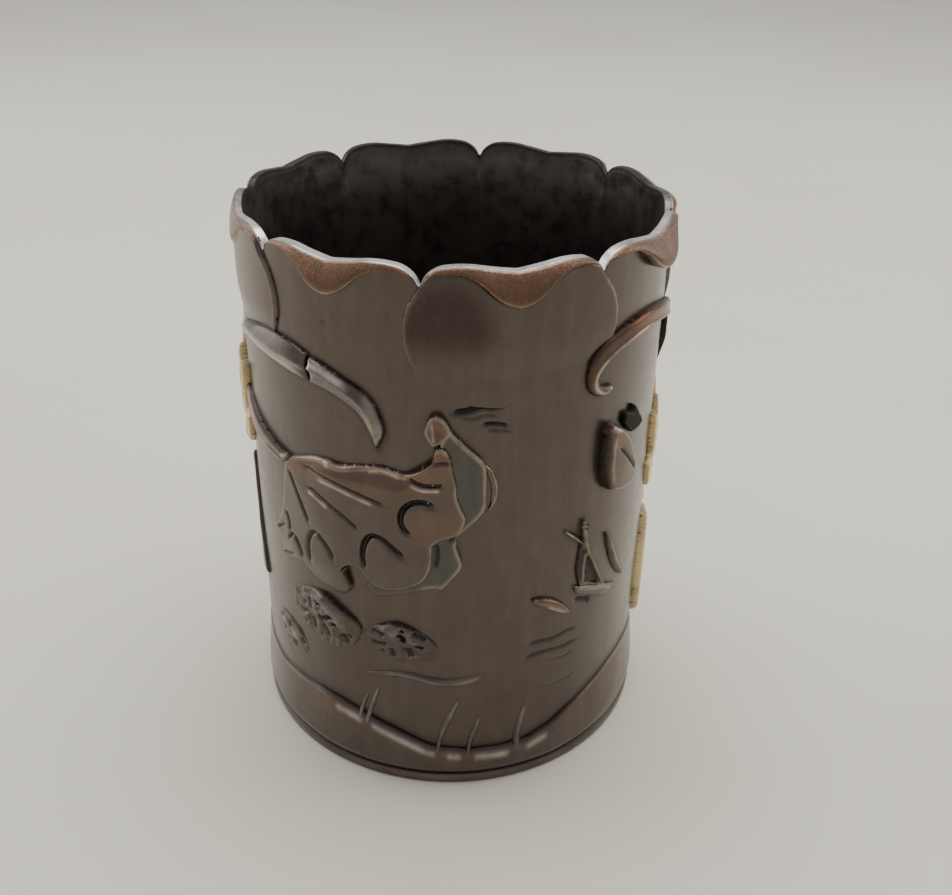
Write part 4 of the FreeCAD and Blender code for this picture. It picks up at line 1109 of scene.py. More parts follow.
class POT_OT_leaf(bpy.types.Operator):
    """The large folded lotus leaf, the leaf behind it, its curled tip and its stem"""
    bl_idname = "brushpot.leaf"
    bl_label = "Large lotus leaf"

    def execute(self, context):
        out = context.scene.pot_sizes.leaf_out / MM
        front = closed(
            [(-33.4, 71.9), (-30, 73.4), (-26, 74.5), (-23.5, 74.7), (-21, 74.6), (-17, 75.5),
             (-12.6, 76.1), (-8.6, 75.4), (-5.6, 76.9), (-3.5, 78.5)],
            [(-3.2, 80.9), (-2.2, 81.7), (-1.0, 81.2), (0.0, 79.4)],
            [(0.4, 76.5), (0.9, 74.2), (1.0, 71.6), (1.7, 69.2), (2.5, 67.1), (1.9, 64.6),
             (0.4, 63.0),
             (-1.9, 62.2), (-3.3, 60.8)],
            [(-3.4, 57.2), (-4.0, 54.5), (-5.3, 52.5), (-8, 50.6), (-12.0, 49.4), (-14.8, 50.1),
             (-16.4, 52.0), (-17.3, 53.3)],
            [(-19.4, 53.1), (-20.9, 51.5), (-20.4, 49.4)],
            [(-19.7, 47.2), (-20.9, 45.6), (-23.2, 45.1), (-26, 45.9), (-28.6, 47.0),
             (-31.4, 48.8)],
            [(-33.5, 48.4), (-36, 47.3), (-38.8, 47), (-39, 50), (-42.2, 52.3)],
            [(-40, 54.4), (-38, 58.4), (-37, 62.4), (-36.3, 66.4), (-35.4, 69.7)])
        leaf = Relief("Lotus_leaf", [front], seed=4, shade_and_grime=0.12)
        leaf.slab(out * 0.8, edge=0.7, floor=0.3)
        fan = ease((leaf.u + 39) / 20) * ease((leaf.z - 44) / 9)
        leaf.out *= 0.38 + 0.62 * fan
        for u, z, half_u, half_z, height, turn in (
                (-4, 66, 5, 3.6, 0.35, 10), (-10, 55, 5, 4, 0.45, 30), (-25, 51, 4.2, 4.5, 0.4, 20),
                (-34, 51, 3, 3, 0.3, 20), (-14, 66, 7, 3, 0.25, -20), (-22, 60, 6, 3.5, 0.25, -25),
                (-31, 67, 5, 2.5, 0.15, -30)):
            leaf.swell(u, z, half_u, half_z, height, turn)
        top = nearest(leaf.at, curve([(-33, 72.4), (-26, 74.6), (-17, 75.6), (-8.6, 75.5),
                                      (-3.5, 78.5)]))[0]
        leaf.out *= (1 - 0.74 * np.exp(-(top / 2.1) ** 2) * ease(fan * 1.5)
                     * ease((-5.5 - leaf.u) / 4))
        for line, width, depth in (
                ([(-2.6, 69.3), (-5, 70.2), (-7.2, 69.7), (-8.7, 67.9), (-9.0, 65.8), (-8.2, 63.9),
                  (-6.8, 63)], 0.5, 1.1),
                ([(-8.0, 57.4), (-10.3, 59.4), (-12.5, 61.2), (-14.4, 61.5), (-15.9, 59.7),
                  (-16.5, 56.3), (-15.9, 53.2)], 0.5, 1.1),
                ([(-22.4, 52.9), (-23.8, 55.6), (-26.2, 57.8), (-28.1, 57.3), (-29.2, 54.2),
                  (-28.8, 49.8)], 0.42, 0.8),
                ([(-31.2, 49.8), (-32.1, 52.5), (-34.2, 54), (-36, 51.8)], 0.36, 0.6),
                ([(-40.2, 52.6), (-38.4, 53.8), (-37.2, 55)], 0.3, 0.4),
                ([(-38.8, 47.4), (-36.3, 48.3), (-34.2, 49.4)], 0.3, 0.4),
                ([(-7.7, 74.9), (-6.1, 74.2), (-4.2, 73.8), (-1.4, 74.0)], 0.34, 0.9),
                ([(-30.1, 71.8), (-26.1, 71.4), (-22.1, 71.1), (-17.8, 70.3), (-13.8, 69.3),
                  (-11.2, 68.8)], 0.27, 0.6),
                ([(-28.5, 67.9), (-26.6, 67.4), (-23.2, 66), (-20.0, 64.5), (-16.6, 62.1)], 0.27,
                 0.6),
                ([(-34.1, 69.3), (-32.9, 67.2), (-30.8, 63.4), (-28.4, 59.1)], 0.38, 0.55),
                ([(-36.4, 58.6), (-35.4, 56.6), (-35.2, 54.2)], 0.35, 0.4)):
            leaf.groove(line, width, depth)
        # the last three ridges follow the leaf's top edge: their brightness is wear together with
        # painted highlight
        for line, width, height, wear_and_highlight in (
                ([(-26, 70.5), (-21.5, 70.3), (-17.6, 69.5), (-13.5, 68.5)], 0.32, 0.15, 0.8),
                ([(-28.2, 66.9), (-26.4, 66.5), (-23.2, 65.1)], 0.4, 0.18, 0.9),
                ([(-7.4, 73.9), (-5, 73.0), (-1.9, 73.1)], 0.3, 0.22, 1.0),
                ([(-33, 71.8), (-30, 72.9), (-26, 74.0), (-21, 74.0), (-17, 74.9), (-12.6, 75.5),
                  (-8.8, 74.8), (-5.8, 76.3)], 0.42, 0.3, 0.45),
                ([(-15.6, 75.0), (-12.4, 75.3), (-8.8, 74.7)], 0.5, 0.25, 1.0),
                ([(-24.4, 74.1), (-23, 74.1)], 0.6, 0.1, 1.0)):
            leaf.ridge(line, width, height, wear_and_highlight)
        edge = np.exp(-((leaf.deep - 0.22) / 0.2) ** 2)
        right = ease((leaf.u + 18) / 9) * ease((74.5 - leaf.z) / 2)
        leaf.out += 0.22 * edge * right
        leaf.rub_and_highlight(edge * (0.12 + 0.7 * right))
        leaf.groove([(-3.4, 78.3), (-2.0, 78.6), (-0.4, 78.7)], 0.26, 0.4)
        leaf.ridge([(-3.0, 81.1), (-1.8, 81.2), (-0.5, 80.2)], 0.28, 0.15, 1.0)
        leaf.uneven(9, 0.06)
        coppery = np.exp(-(np.maximum(top - 0.4, 0) / 4.6) ** 2) * ease((leaf.u + 36) / 4)
        piece = leaf.cast(leaf_metal(), "leaf", "leaf_front", wear=0.4)
        red = np.exp(-(((leaf.u + 3.0) / 5.0) ** 2 + ((leaf.z - 65.0) / 3.4) ** 2))
        both = np.maximum(coppery * 0.9, red * 0.8)
        mark(piece, "stained", np.concatenate([both, both * 0]))

        behind = closed(
            [(-0.8, 84.6), (0.8, 83.3), (2.4, 81.5), (4.4, 79.5), (5.9, 77.4), (6.1, 73.1),
             (6.0, 68.9),
             (4.7, 66.6), (2.7, 64.5), (1.1, 62.8)],
            [(0.9, 60.8), (1.2, 59.2), (2.0, 56.3), (0.7, 53.8), (-1.6, 50.8)],
            [(-3.6, 50.9), (-6.5, 49.2), (-9.5, 48.3), (-12, 47.4), (-14.4, 47), (-16.6, 48.6)],
            [(-14, 55), (-6, 66), (-2.6, 79.5), (-2.2, 82.4)])
        back = Relief("Lotus_leaf_behind", [behind], seed=6, shade_and_grime=0.12)
        back.slab(1.15, edge=0.4, floor=0.35).rim(0.24, 0.3, wear_and_highlight=0.85)
        low = ease((-3.6 - back.u) / 3)
        back.out *= 1 - 0.7 * low
        back.wear_and_highlight *= 1 - 0.85 * low
        back.groove([(-2.9, 61.4), (-2.6, 58.5), (-3.0, 55.5)], 0.5, 0.4)
        back.groove([(-0.4, 62.6), (0.8, 62.0)], 0.6, 0.5)
        back.uneven(5, 0.05)
        back.cast(metal("Leaf shade bronze", (0.064, 0.060, 0.052), (0.46, 0.37, 0.28), gloss=0.30,
                        staining=0.15, bump=0.12), "leaf", "leaf_back", wear=0.3)
        curl = closed([(-4.4, 83), (-4.9, 84.6), (-4.1, 86.9), (-2.7, 87.6), (-1.2, 86.6),
                       (0.1, 84.2)],
                      [(-0.8, 83.2), (-2.2, 82.0), (-3.5, 81.6)])
        tip = Relief("Leaf_curl", [curl], cell=0.2, shade_and_grime=0.15)
        tip.slab(1.5, edge=0.45, floor=0.35).rim(0.24, 0.2, wear_and_highlight=0.8)
        tip.swell(-2.4, 84.8, 1.3, 2.0, -0.7, 20)
        tip.ridge([(-3.6, 86.4), (-3.4, 84.6), (-3.1, 82.4)], 0.18, 0.15, 0.6)
        piece = tip.cast(leaf_metal(), "leaf", "leaf_curl", wear=0.4)
        mark(piece, "stained", np.tile(ease((tip.deep - 0.4) / 0.6), 2) * 0.9)
        crescent = closed([(7.3, 75.8), (8.3, 72.6), (8.0, 69.8), (6.3, 67)],
                          [(6.9, 70), (6.7, 73.5), (4.9, 78.3)])
        rim = Relief("Leaf_outer_rim", [crescent], cell=0.2, shade_and_grime=0.05)
        rim.slab(0.22, edge=0.4)
        rim.ridge([(5.2, 78.0), (7.0, 75.9), (7.95, 72.8), (7.75, 69.9), (6.2, 67.2)], 0.22, 0.4,
                  0.8, fade=False)
        rim.cast(leaf_metal(), "leaf", "leaf_rim", wear=0.5)
        stalk = closed([(-39, 72.5), (-43, 73.6), (-49, 75.6), (-56, 79.4)], [(-56.8, 77.4)],
                       [(-49.5, 73), (-44, 70.6), (-39, 69.9), (-35.9, 69.6)], [(-33.4, 71.4)])
        stem = Relief("Leaf_stem", [stalk])
        stem.slab(1.6, edge=1.4, floor=0.2)
        stem.ridge([(-54, 77.6), (-48, 74.2), (-43, 72.1), (-39, 71.2)], 0.4, 0.15, 0.5)
        stem.ridge([(-35.6, 71.4), (-34.6, 71.6)], 0.5, 0.1, 1.0)
        stem.out *= 0.6 + 0.4 * ease((stem.u + 56) / 12)
        stem.cast(leaf_metal(), "leaf", "leaf_stem", wear=0.3)
        return {"FINISHED"}


class POT_OT_bud(bpy.types.Operator):
    """The bud at the right, its sepal, the crossed reeds and the loose leaf"""
    bl_idname = "brushpot.bud"
    bl_label = "Bud and crossed reeds"

    def execute(self, context):
        body = closed([(29.9, 75.4), (30.0, 71.1), (30.5, 68.2), (31.4, 66.2)],
                      [(33.4, 65.4), (35.8, 65.1), (37.9, 65.5), (39.1, 67.2), (39.1, 69.4),
                       (37.9, 72.8), (35.8, 76.9), (33.2, 79.6), (31.2, 80.2), (30.2, 78.6),
                       (29.9, 75.4)])
        bud = Relief("Bud", [body], cell=0.2, seed=5, shade_and_grime=0.5)
        bud.slab(2.75, edge=1.1, floor=0.12)
        bud.swell(34, 71, 3, 5, 0.2)
        bud.groove([(32.4, 75.8), (34.7, 73.1), (37.1, 70.2), (38.6, 68)], 0.3, 0.55, 0.8)
        bud.ridge([(32.6, 65.9), (35.8, 65.6), (37.7, 66.1), (38.6, 67.4)], 0.4, 0.1, 0.7)
        bud.ridge([(30.8, 79.6), (31.8, 79.5), (33, 79)], 0.35, 0.15, 1.0)
        bud.ridge([(31.2, 78.4), (30.8, 75), (30.9, 71), (31.5, 67.6)], 0.3, 0.12, 0.35)
        # painted shadow: the bud's left side face darkens
        shade = ease((30.9 - bud.u - np.maximum(0, 71 - bud.z) * -0.2) / 0.6)
        bud.shade_and_soil(shade * 0.85)
        piece = bud.cast(metal("Bud bronze", (0.120, 0.088, 0.071), (0.50, 0.43, 0.37), gloss=0.27,
                               staining=0.2, stain=(0.17, 0.085, 0.05)), "bud", "bud", wear=0.3)
        red = ease((bud.z - 74.5) / 4)
        mark(piece, "stained", np.tile(red * 0.8, 2))
        leaf = closed([(39.3, 81.3)], [(38.7, 80.1)], [(37.4, 80.6), (36.1, 80.6)], [(35.6, 78.7)],
                      [(37, 76.9), (38.8, 75.5)], [(41, 75.4), (43.3, 76.0)],
                      [(42.4, 77.6), (41.1, 78.9)])
        sepal = Relief("Bud_sepal", [leaf], cell=0.2, shade_and_grime=0.3)
        sepal.slab(1.1, edge=0.35)
        sepal.shade_and_soil(ease((sepal.deep - 0.2) / 0.35) * 0.92)
        sepal.ridge([(39.4, 80.8), (40.8, 78.6)], 0.2, 0.15, 0.7)
        sepal.cast(metal("Dark sepal bronze", (0.026, 0.024, 0.019), (0.34, 0.31, 0.27), gloss=0.42,
                         staining=0.1, wax=0.05), "bud", "bud_sepal", wear=0.3)
        pale = metal("Crossed reed bronze", (0.098, 0.077, 0.064), (0.42, 0.36, 0.31), gloss=0.28,
                     staining=0.3, bump=0.12)
        ridge = [(27.5, 61.2), (27.2, 57.5), (28.1, 53.7), (29.9, 50), (31.8, 46.2), (33.5, 43.0)]
        blade = closed(ridge, [(32.2, 42.9), (29.4, 44.1), (26.9, 44.9)],
                       [(26.0, 48.6), (26.2, 52.2), (26.6, 55.6), (26.9, 59.2), (27.5, 61.2)])
        reed = Relief("Crossed_reed_1", [blade], cell=0.18, seed=30, shade_and_grime=0.25)
        reed.slab(0.7, edge=0.5)
        reed.ridge([(u - 0.25, z) for u, z in ridge], 0.38, 1.0, 0.8, fade=False)
        reed.ridge([(27.8, 53.4), (27.4, 49.5), (27.7, 45.6)], 0.24, 0.35, 0.5)
        # painted shade in the hollows between the blades and down the blade's left side
        hollow = ease((reed.deep - 0.45) / 0.5) * ease((57 - reed.z) / 2)
        hollow *= 1 - np.exp(-(nearest(reed.at,
                                       curve([(27.8, 53.4), (27.4, 49.5), (27.7, 45.6)]))[0]
                               / 0.3) ** 2)
        left = ease((27.0 - reed.u) / 0.4)
        reed.out -= 0.5 * hollow
        reed.shade_and_soil(np.maximum(hollow, left * 0.8) * 0.9)
        reed.cast(pale, "reed", "cross_reed_1", wear=0.3)
        for name, line, width, blunt, high, node_name in (
                ("Crossed_reed_2", [(22.6, 59.4), (25.1, 57.2), (27.2, 55.2)], 1.3, 0.3, 0.9,
                 "cross_reed_2"),
                ("Crossed_reed_4", [(34.2, 54.4), (36.1, 49.8), (38.1, 45.6), (41, 41)], 2.4, 0.3,
                 1.1, "cross_reed_4")):
            reed = Relief(name, [band(line, width, blunt)], cell=0.18, seed=33, shade_and_grime=0.35)
            reed.roof([(u - 0.15, z) for u, z in line], 0.25, high, edge=0.25)
            reed.shade_and_soil(0.45 * (width > 2))
            reed.cast(pale, "reed", node_name, wear=0.3, line=0.15)
        strip = closed([(25.4, 45.6), (29.3, 44.3), (33.5, 42.6), (38.9, 39.8)],
                       [(35, 39.0), (30.5, 41.2), (26.4, 43.3), (25.4, 45.6)])
        reed = Relief("Crossed_reed_3", [strip], cell=0.18, seed=32, shade_and_grime=0.3)
        reed.slab(0.6, edge=0.9, floor=0.12)
        reed.ridge([(26, 44.9), (29.3, 43.5), (33.5, 41.7), (37, 39.9)], 0.4, 0.12, 0.45)
        reed.cast(pale, "reed", "cross_reed_3", wear=0.15, line=0.12)
        loose = band([(16.0, 45.2), (18.7, 44.1), (21.6, 42.2), (24.7, 39.7)], 2.5, 0.1)
        leaf = Relief("Small_leaf", [loose], cell=0.18, shade_and_grime=0.2)
        leaf.slab(1.1, edge=0.9, floor=0.12)
        leaf.ridge([(19, 43.2), (21, 41.9), (23.6, 39.9)], 0.4, 0.1, 0.7)
        piece = leaf.cast(metal("Small leaf copper", (0.16, 0.105, 0.075), (0.48, 0.38, 0.30),
                                gloss=0.3, staining=0.2, stain=(0.13, 0.06, 0.035)), "leaf",
                          "small_leaf", wear=0.3)
        upper = leaf.z - np.interp(leaf.u, (16.0, 18.7, 21.6, 24.7),
                                          (45.2, 44.1, 42.2, 39.7))
        mark(piece, "stained", np.tile(ease((upper - 0.1) / 0.5), 2) * 0.9)
        return {"FINISHED"}


class POT_OT_tufts(bpy.types.Operator):
    """The tufts of rounded leaves at the lower left, the ledge under them and the shoots"""
    bl_idname = "brushpot.tufts"
    bl_label = "Tufts, ledge and shoots"

    def execute(self, context):
        s = context.scene.pot_sizes
        self.tuft("Tuft_1", [
            (-37.2, 36.2), (-36.8, 38.8), (-35.1, 40.8), (-33, 41.7), (-30.1, 42.7), (-26.8, 43.0),
            (-24.3, 42.0), (-21.2, 40.4), (-19, 39.0), (-18.0, 37.2), (-18.6, 35.2), (-19.4, 33.4),
            (-21.6, 31.2), (-24.6, 30.2), (-28.3, 30.0), (-31.4, 30.9), (-34.9, 33.4)],
            1.8, (-24, 40), 9, [
                ([(-35.6, 40), (-34.6, 38.6)], 0.35),
                ([(-34.9, 35.6), (-33.4, 35.4), (-32, 36.2)], 0.4),
                ([(-31.8, 39.7), (-30.9, 38.6), (-30.4, 37.0)], 0.45),
                ([(-30.7, 35.3), (-30.1, 33.8), (-30.5, 32.2)], 0.5),
                ([(-32.6, 33.4), (-33.6, 32.6)], 0.35),
                ([(-26.9, 35.6), (-26.3, 34), (-26.3, 32.1)], 0.45),
                ([(-28.2, 37.5), (-27.3, 36.7), (-25.6, 37.8), (-24.2, 38.6)], 0.4),
                ([(-24.9, 36.6), (-23.4, 36.9)], 0.3),
                ([(-22.8, 34.8), (-21.8, 33.6), (-21.9, 32.3)], 0.5),
                ([(-21.2, 35), (-20.2, 34.6)], 0.35), ([(-28.8, 40.8), (-27.8, 39.8)], 0.3),
                ([(-33.8, 37.6), (-32.4, 37.9)], 0.3), ([(-28.6, 33.3), (-28.2, 31.4)], 0.25)],
            [(-27.4, 41.5, 1.3, 0.8, 10), (-24.8, 40.3, 1.6, 0.8, -30),
             (-21.8, 37.6, 1.8, 1.0, -40),
             (-32.2, 41, 1.0, 0.8, 20), (-28.4, 34.2, 1.0, 1.6, 0), (-24.4, 34.4, 1.3, 1.6, 10),
             (-32.3, 34.4, 1.0, 1.4, 20), (-29, 38.8, 1.1, 0.9, 30)], "rosette_1", 41)
        self.tuft("Tuft_2", [
            (-17.9, 37), (-16.4, 38.6), (-14.3, 39.8), (-10.8, 41.0), (-7.0, 39.9), (-3.8, 37.7),
            (-2.4, 35.2), (-3.6, 32.8), (-6.8, 32.1), (-10.5, 31.4), (-13.6, 32.4), (-16.2, 34)],
            1.6, (-9, 40), 8, [
                ([(-16.2, 38), (-14.6, 38), (-13, 37.6)], 0.35),
                ([(-16.4, 35), (-14.4, 35.2), (-12.6, 35.4)], 0.38),
                ([(-11.9, 34.7), (-11.6, 33.6), (-11.6, 32.2)], 0.5),
                ([(-8.9, 35.6), (-8.2, 34.4), (-7.6, 32.9)], 0.6),
                ([(-8.6, 33.4), (-7, 33.4)], 0.4),
                ([(-10.3, 39), (-9.2, 37.9), (-9.6, 36.9)], 0.38), ([(-9.8, 40), (-9, 39.5)], 0.25),
                ([(-7.6, 39.4), (-6.4, 38.8), (-4.8, 37.8)], 0.32),
                ([(-6.9, 36.4), (-5.2, 35.8)], 0.25),
                ([(-13.9, 33.9), (-13.5, 32.9)], 0.3)],
            [(-11.2, 38.9, 1.2, 0.9, 10), (-7.0, 37.3, 1.2, 0.8, -20), (-4.4, 35.2, 1.5, 1.6, 0),
             (-14.4, 36.5, 1.6, 0.7, 0), (-10, 33.2, 0.8, 1.4, 0), (-13.2, 39.2, 1.2, 0.5, 20)],
            "rosette_2", 42)
        self.tuft("Tuft_3", [
            (-45.2, 27.4), (-43.4, 29.6), (-39.6, 30), (-35.6, 28.8), (-33.2, 26.2), (-33.6, 23.6),
            (-37, 22.2), (-41, 22), (-44.2, 24)], 0.5, (-38, 29), 8, [
                ([(-39.9, 28.6), (-39, 27.4)], 0.4), ([(-42.4, 26.6), (-41.4, 25.2)], 0.4),
                ([(-35.2, 27), (-34, 25.8)], 0.4), ([(-38.4, 24.6), (-37, 23.8)], 0.4),
                ([(-31.6, 25.6), (-30.8, 24.8)], 0.35), ([(-43.6, 28.6), (-42.8, 27.8)], 0.35)],
            [(-41, 27.6, 1.2, 1, 0), (-36.8, 26.4, 1.4, 1, 0)], "rosette_3", 43)
        self.tuft("Tuft_rear", [
            (111.6, 33), (114.4, 35.8), (118.6, 37), (123, 36), (126, 33), (125.4, 29.2),
            (121.6, 26.6),
            (116.6, 26.2), (112.8, 28.4)], 1.8, (120, 35), 12, [
                ([(114.2, 33.6), (115.8, 32.6)], 0.45), ([(117.6, 35.4), (118.2, 33.4)], 0.5),
                ([(121.8, 34.8), (120.8, 33)], 0.45), ([(124.4, 31.4), (122.2, 31.2)], 0.45),
                ([(121.6, 28.2), (120.6, 29.8)], 0.5), ([(117, 28), (117.8, 29.8)], 0.45),
                ([(114, 30), (115.8, 30.6)], 0.4)],
            [(119, 31.4, 1.6, 1.3, 0), (116, 34.4, 1, 0.8, 0), (123.4, 33.2, 1, 0.8, 0)],
            "rosette_rear", 44)
        shape = closed([(-13, 28.2), (-9, 29.1), (-4, 28.4), (0.5, 28), (6.3, 28.9)],
                       [(5.8, 26.6), (0, 25.9), (-5.5, 26.6), (-9, 27.5), (-13.5, 26.6),
                        (-18.4, 26.4)])
        ledge = Relief("Ledge", [shape], cell=0.18, shade_and_grime=0.1)
        ledge.slab(0.42, edge=1.0, floor=0.08)
        ledge.groove([(-12.4, 28.9), (-9, 29.2), (-6, 28.8), (-3.6, 28.2), (0.4, 28.4)], 0.4, 0.5,
                     0.8)
        ledge.ridge([(-14, 27.4), (-10.6, 28.2), (-6.2, 27.6), (-2.8, 26.7), (1.2, 26.7),
                     (4.6, 27.5),
                     (6.6, 28.4)], 0.28, 0.2, 0.16)
        ledge.out *= 0.3 + 0.7 * ease((7 - ledge.u) / 9)
        ledge.cast(wall_metal(), "tuft", "ledge", wear=0.2, low=0.06)
        for i, (line, width) in enumerate((
                ([(-18.6, 12.2), (-18.8, 16), (-18.2, 18.5), (-17.2, 20.8)], 1.4),
                ([(-17.6, 11.6), (-16.9, 16.5), (-15.9, 20), (-14.6, 23.8)], 1.7),
                ([(-2.8, 7.6), (-1.7, 13.2), (0, 18), (1.9, 22.8)], 1.9),
                ([(3.4, 6.8), (4.3, 11.5), (5.2, 14.5), (6, 17.8)], 1.7),
                ([(13.6, 5.6), (14.2, 11), (14.9, 15), (15.7, 18.8)], 2.4),
                ([(104, 11), (105, 17), (106.6, 21), (109, 25)], 1.9),
                ([(-101, 8), (-102, 13), (-103.6, 17), (-106, 21)], 1.9))):
            shoot = Relief("Shoot_%d" % (i + 1), [band(line, width * 0.8, 0.2)], cell=0.18,
                           seed=50 + i, shade_and_grime=0.03)
            shoot.slab(0.32, edge=0.7, floor=0.1)
            over = ease((bank_top(shoot.u) + 1.6 - shoot.z) / 3.2)
            shoot.out += (s.bank_out / MM - 0.55) * over * ease(shoot.deep / 0.3 + 0.3)
            shoot.ridge(line, 0.18, 0.14, 0.22)
            shoot.shade_and_soil(0.35 * ease((16 - shoot.z) / 6))
            shoot.cast(wall_metal(), "reed", "shoot_%d" % (i + 1), wear=0.1, low=0.05, line=0.08)
        return {"FINISHED"}

    @staticmethod
    def tuft(name, outline, out, high, reach, pits, knobs, node_name, seed):
        """A cushion of small leaves, tallest near one place, with deep pits between the leaves."""
        shape = closed(outline[1:] + outline[:1])
        tuft = Relief(name, [shape], cell=0.18, seed=seed, shade_and_grime=0.10)
        far = np.hypot(tuft.u - high[0], tuft.z - high[1])
        tuft.slab(out * 0.85, edge=0.9, floor=0.10)
        tuft.out *= 1 - 0.93 * ease((far - 1.0) / reach)
        for u, z, half_u, half_z, turn in knobs:
            tuft.swell(u, z, half_u, half_z, 0.30 + 0.12 * out, turn)
        tuft.wear_and_highlight = np.clip(tuft.out / out - 0.75, 0, 0.5)
        for line, width in pits:
            tuft.groove(line, width * 1.3, 1.2, 1.0)
        tuft.uneven(2.0, 0.16)
        tuft.cast(tuft_metal(), "tuft", node_name, wear=0.6, low=0.03, line=0.05)


# ------------------------------------------------------------------ reliefs at the sides and back
class POT_OT_gilt(bpy.types.Operator):
    """The gilt lotus flowers at the two sides"""
    bl_idname = "brushpot.gilt"
    bl_label = "Gilt flowers"

    def execute(self, context):
        self.flower("Flower_left", -70, 62, 28.5, "flower_left", 61)
        self.flower("Flower_right", 71, 51, 28, "flower_right", 62)
        stem = band([(-68.8, 18), (-67, 32), (-67.4, 46), (-70, 62.5)], 2.2, 0.8)
        piece = Relief("Flower_left_stem", [stem], cell=0.3)
        piece.slab(1.3, edge=1.0, floor=0.1)
        piece.cast(gilt_metal(), "gilt", "flower_left_stem")
        leaf = closed([(-58.4, 60.4), (-56.8, 54), (-55, 47), (-53, 40.4), (-50.6, 33.8)],
                      [(-56, 32.6), (-62, 36)],
                      [(-66, 43), (-66.4, 51), (-62.6, 58), (-58.4, 60.4)])
        piece = Relief("Leaf_left", [leaf], cell=0.25, seed=8, shade_and_grime=0.7)
        piece.slab(0.75, edge=0.9, floor=0.2).uneven(8, 0.08)
        # painted shade: the leaf darkens along its edge, the shadowed side at the silhouette, and
        # the wall beside it darkens strongly too
        piece.shade_and_soil(ease((1.2 - piece.deep) / 0.8) * 0.5)
        piece.groove([(-59, 57), (-60.5, 48), (-59, 38)], 0.35, 0.5)
        piece.cast(leaf_metal(), "leaf", "leaf_left", wear=0.3)
        leaf = closed([(60, 44), (57.4, 37), (56.6, 28), (58.4, 20), (63.5, 14.5)],
                      [(72, 18), (79, 28), (80.5, 38), (77.4, 45.5)], [(73.5, 43), (69.8, 48.6)],
                      [(66.4, 43.2), (60, 44)])
        piece = Relief("Flower_right_leaf", [leaf], cell=0.3, seed=9)
        piece.slab(1.75, edge=1.0).rim(0.5, 0.2, 0.8)
        for far in (-9.5, -5.5, -1, 4, 8.5):
            piece.ridge([(69.8, 45), (69.8 + far * 0.6, 34), (69.8 + far, 26 + abs(far) * 0.5)],
                        0.4, 0.28, 0.5)
        shade = ease((33 - piece.z) / 8)
        piece.shade_and_soil((0.88 - 0.80 * shade) * ease((piece.deep - 0.8) / 0.8))
        piece.shade_and_soil(ease((ripple(piece.at, 8.0, 5) - 0.1) / 0.3) * 0.4)
        piece.cast(gilt_metal(), "gilt", "flower_right_leaf")
        return {"FINISHED"}

    @staticmethod
    def flower(name, u, z, size, node_name, seed):
        petals = [petal_shape(u, z, size * long, size * wide, lean) for lean, long, wide in (
            (-62, 0.72, 0.34), (62, 0.72, 0.34), (-38, 0.92, 0.38), (38, 0.92, 0.38),
            (0, 1.0, 0.40), (-19, 0.80, 0.40), (19, 0.80, 0.40), (0, 0.6, 0.42))]
        flower = Relief(name, petals, cell=0.3, seed=seed)
        for i, shape in enumerate(petals):
            flower.layer(shape, 1.0 + 0.13 * i, 0.45, edge=0.5)
        for lean in (-60, -38, -19, 0, 19, 38, 60):
            a = math.radians(lean)
            far = size * (0.86 if abs(lean) < 45 else 0.62)
            flower.groove([(u + size * 0.22 * math.sin(a), z + size * 0.22 * math.cos(a)),
                           (u + far * 0.6 * math.sin(a), z + far * 0.6 * math.cos(a)),
                           (u + far * math.sin(a), z + far * math.cos(a))], 0.18, 0.12, 0.3)
        flower.out += (0.3 * np.maximum(ripple(flower.at, 4.4, seed + 3), 0)
                       * ease(flower.deep / 0.8))
        flower.shade_and_soil(ease((ripple(flower.at, 7.0, seed) - 0.1) / 0.3) * 0.5)
        flower.cast(gilt_metal(), "gilt", node_name, wear=0.15, line=0.0)


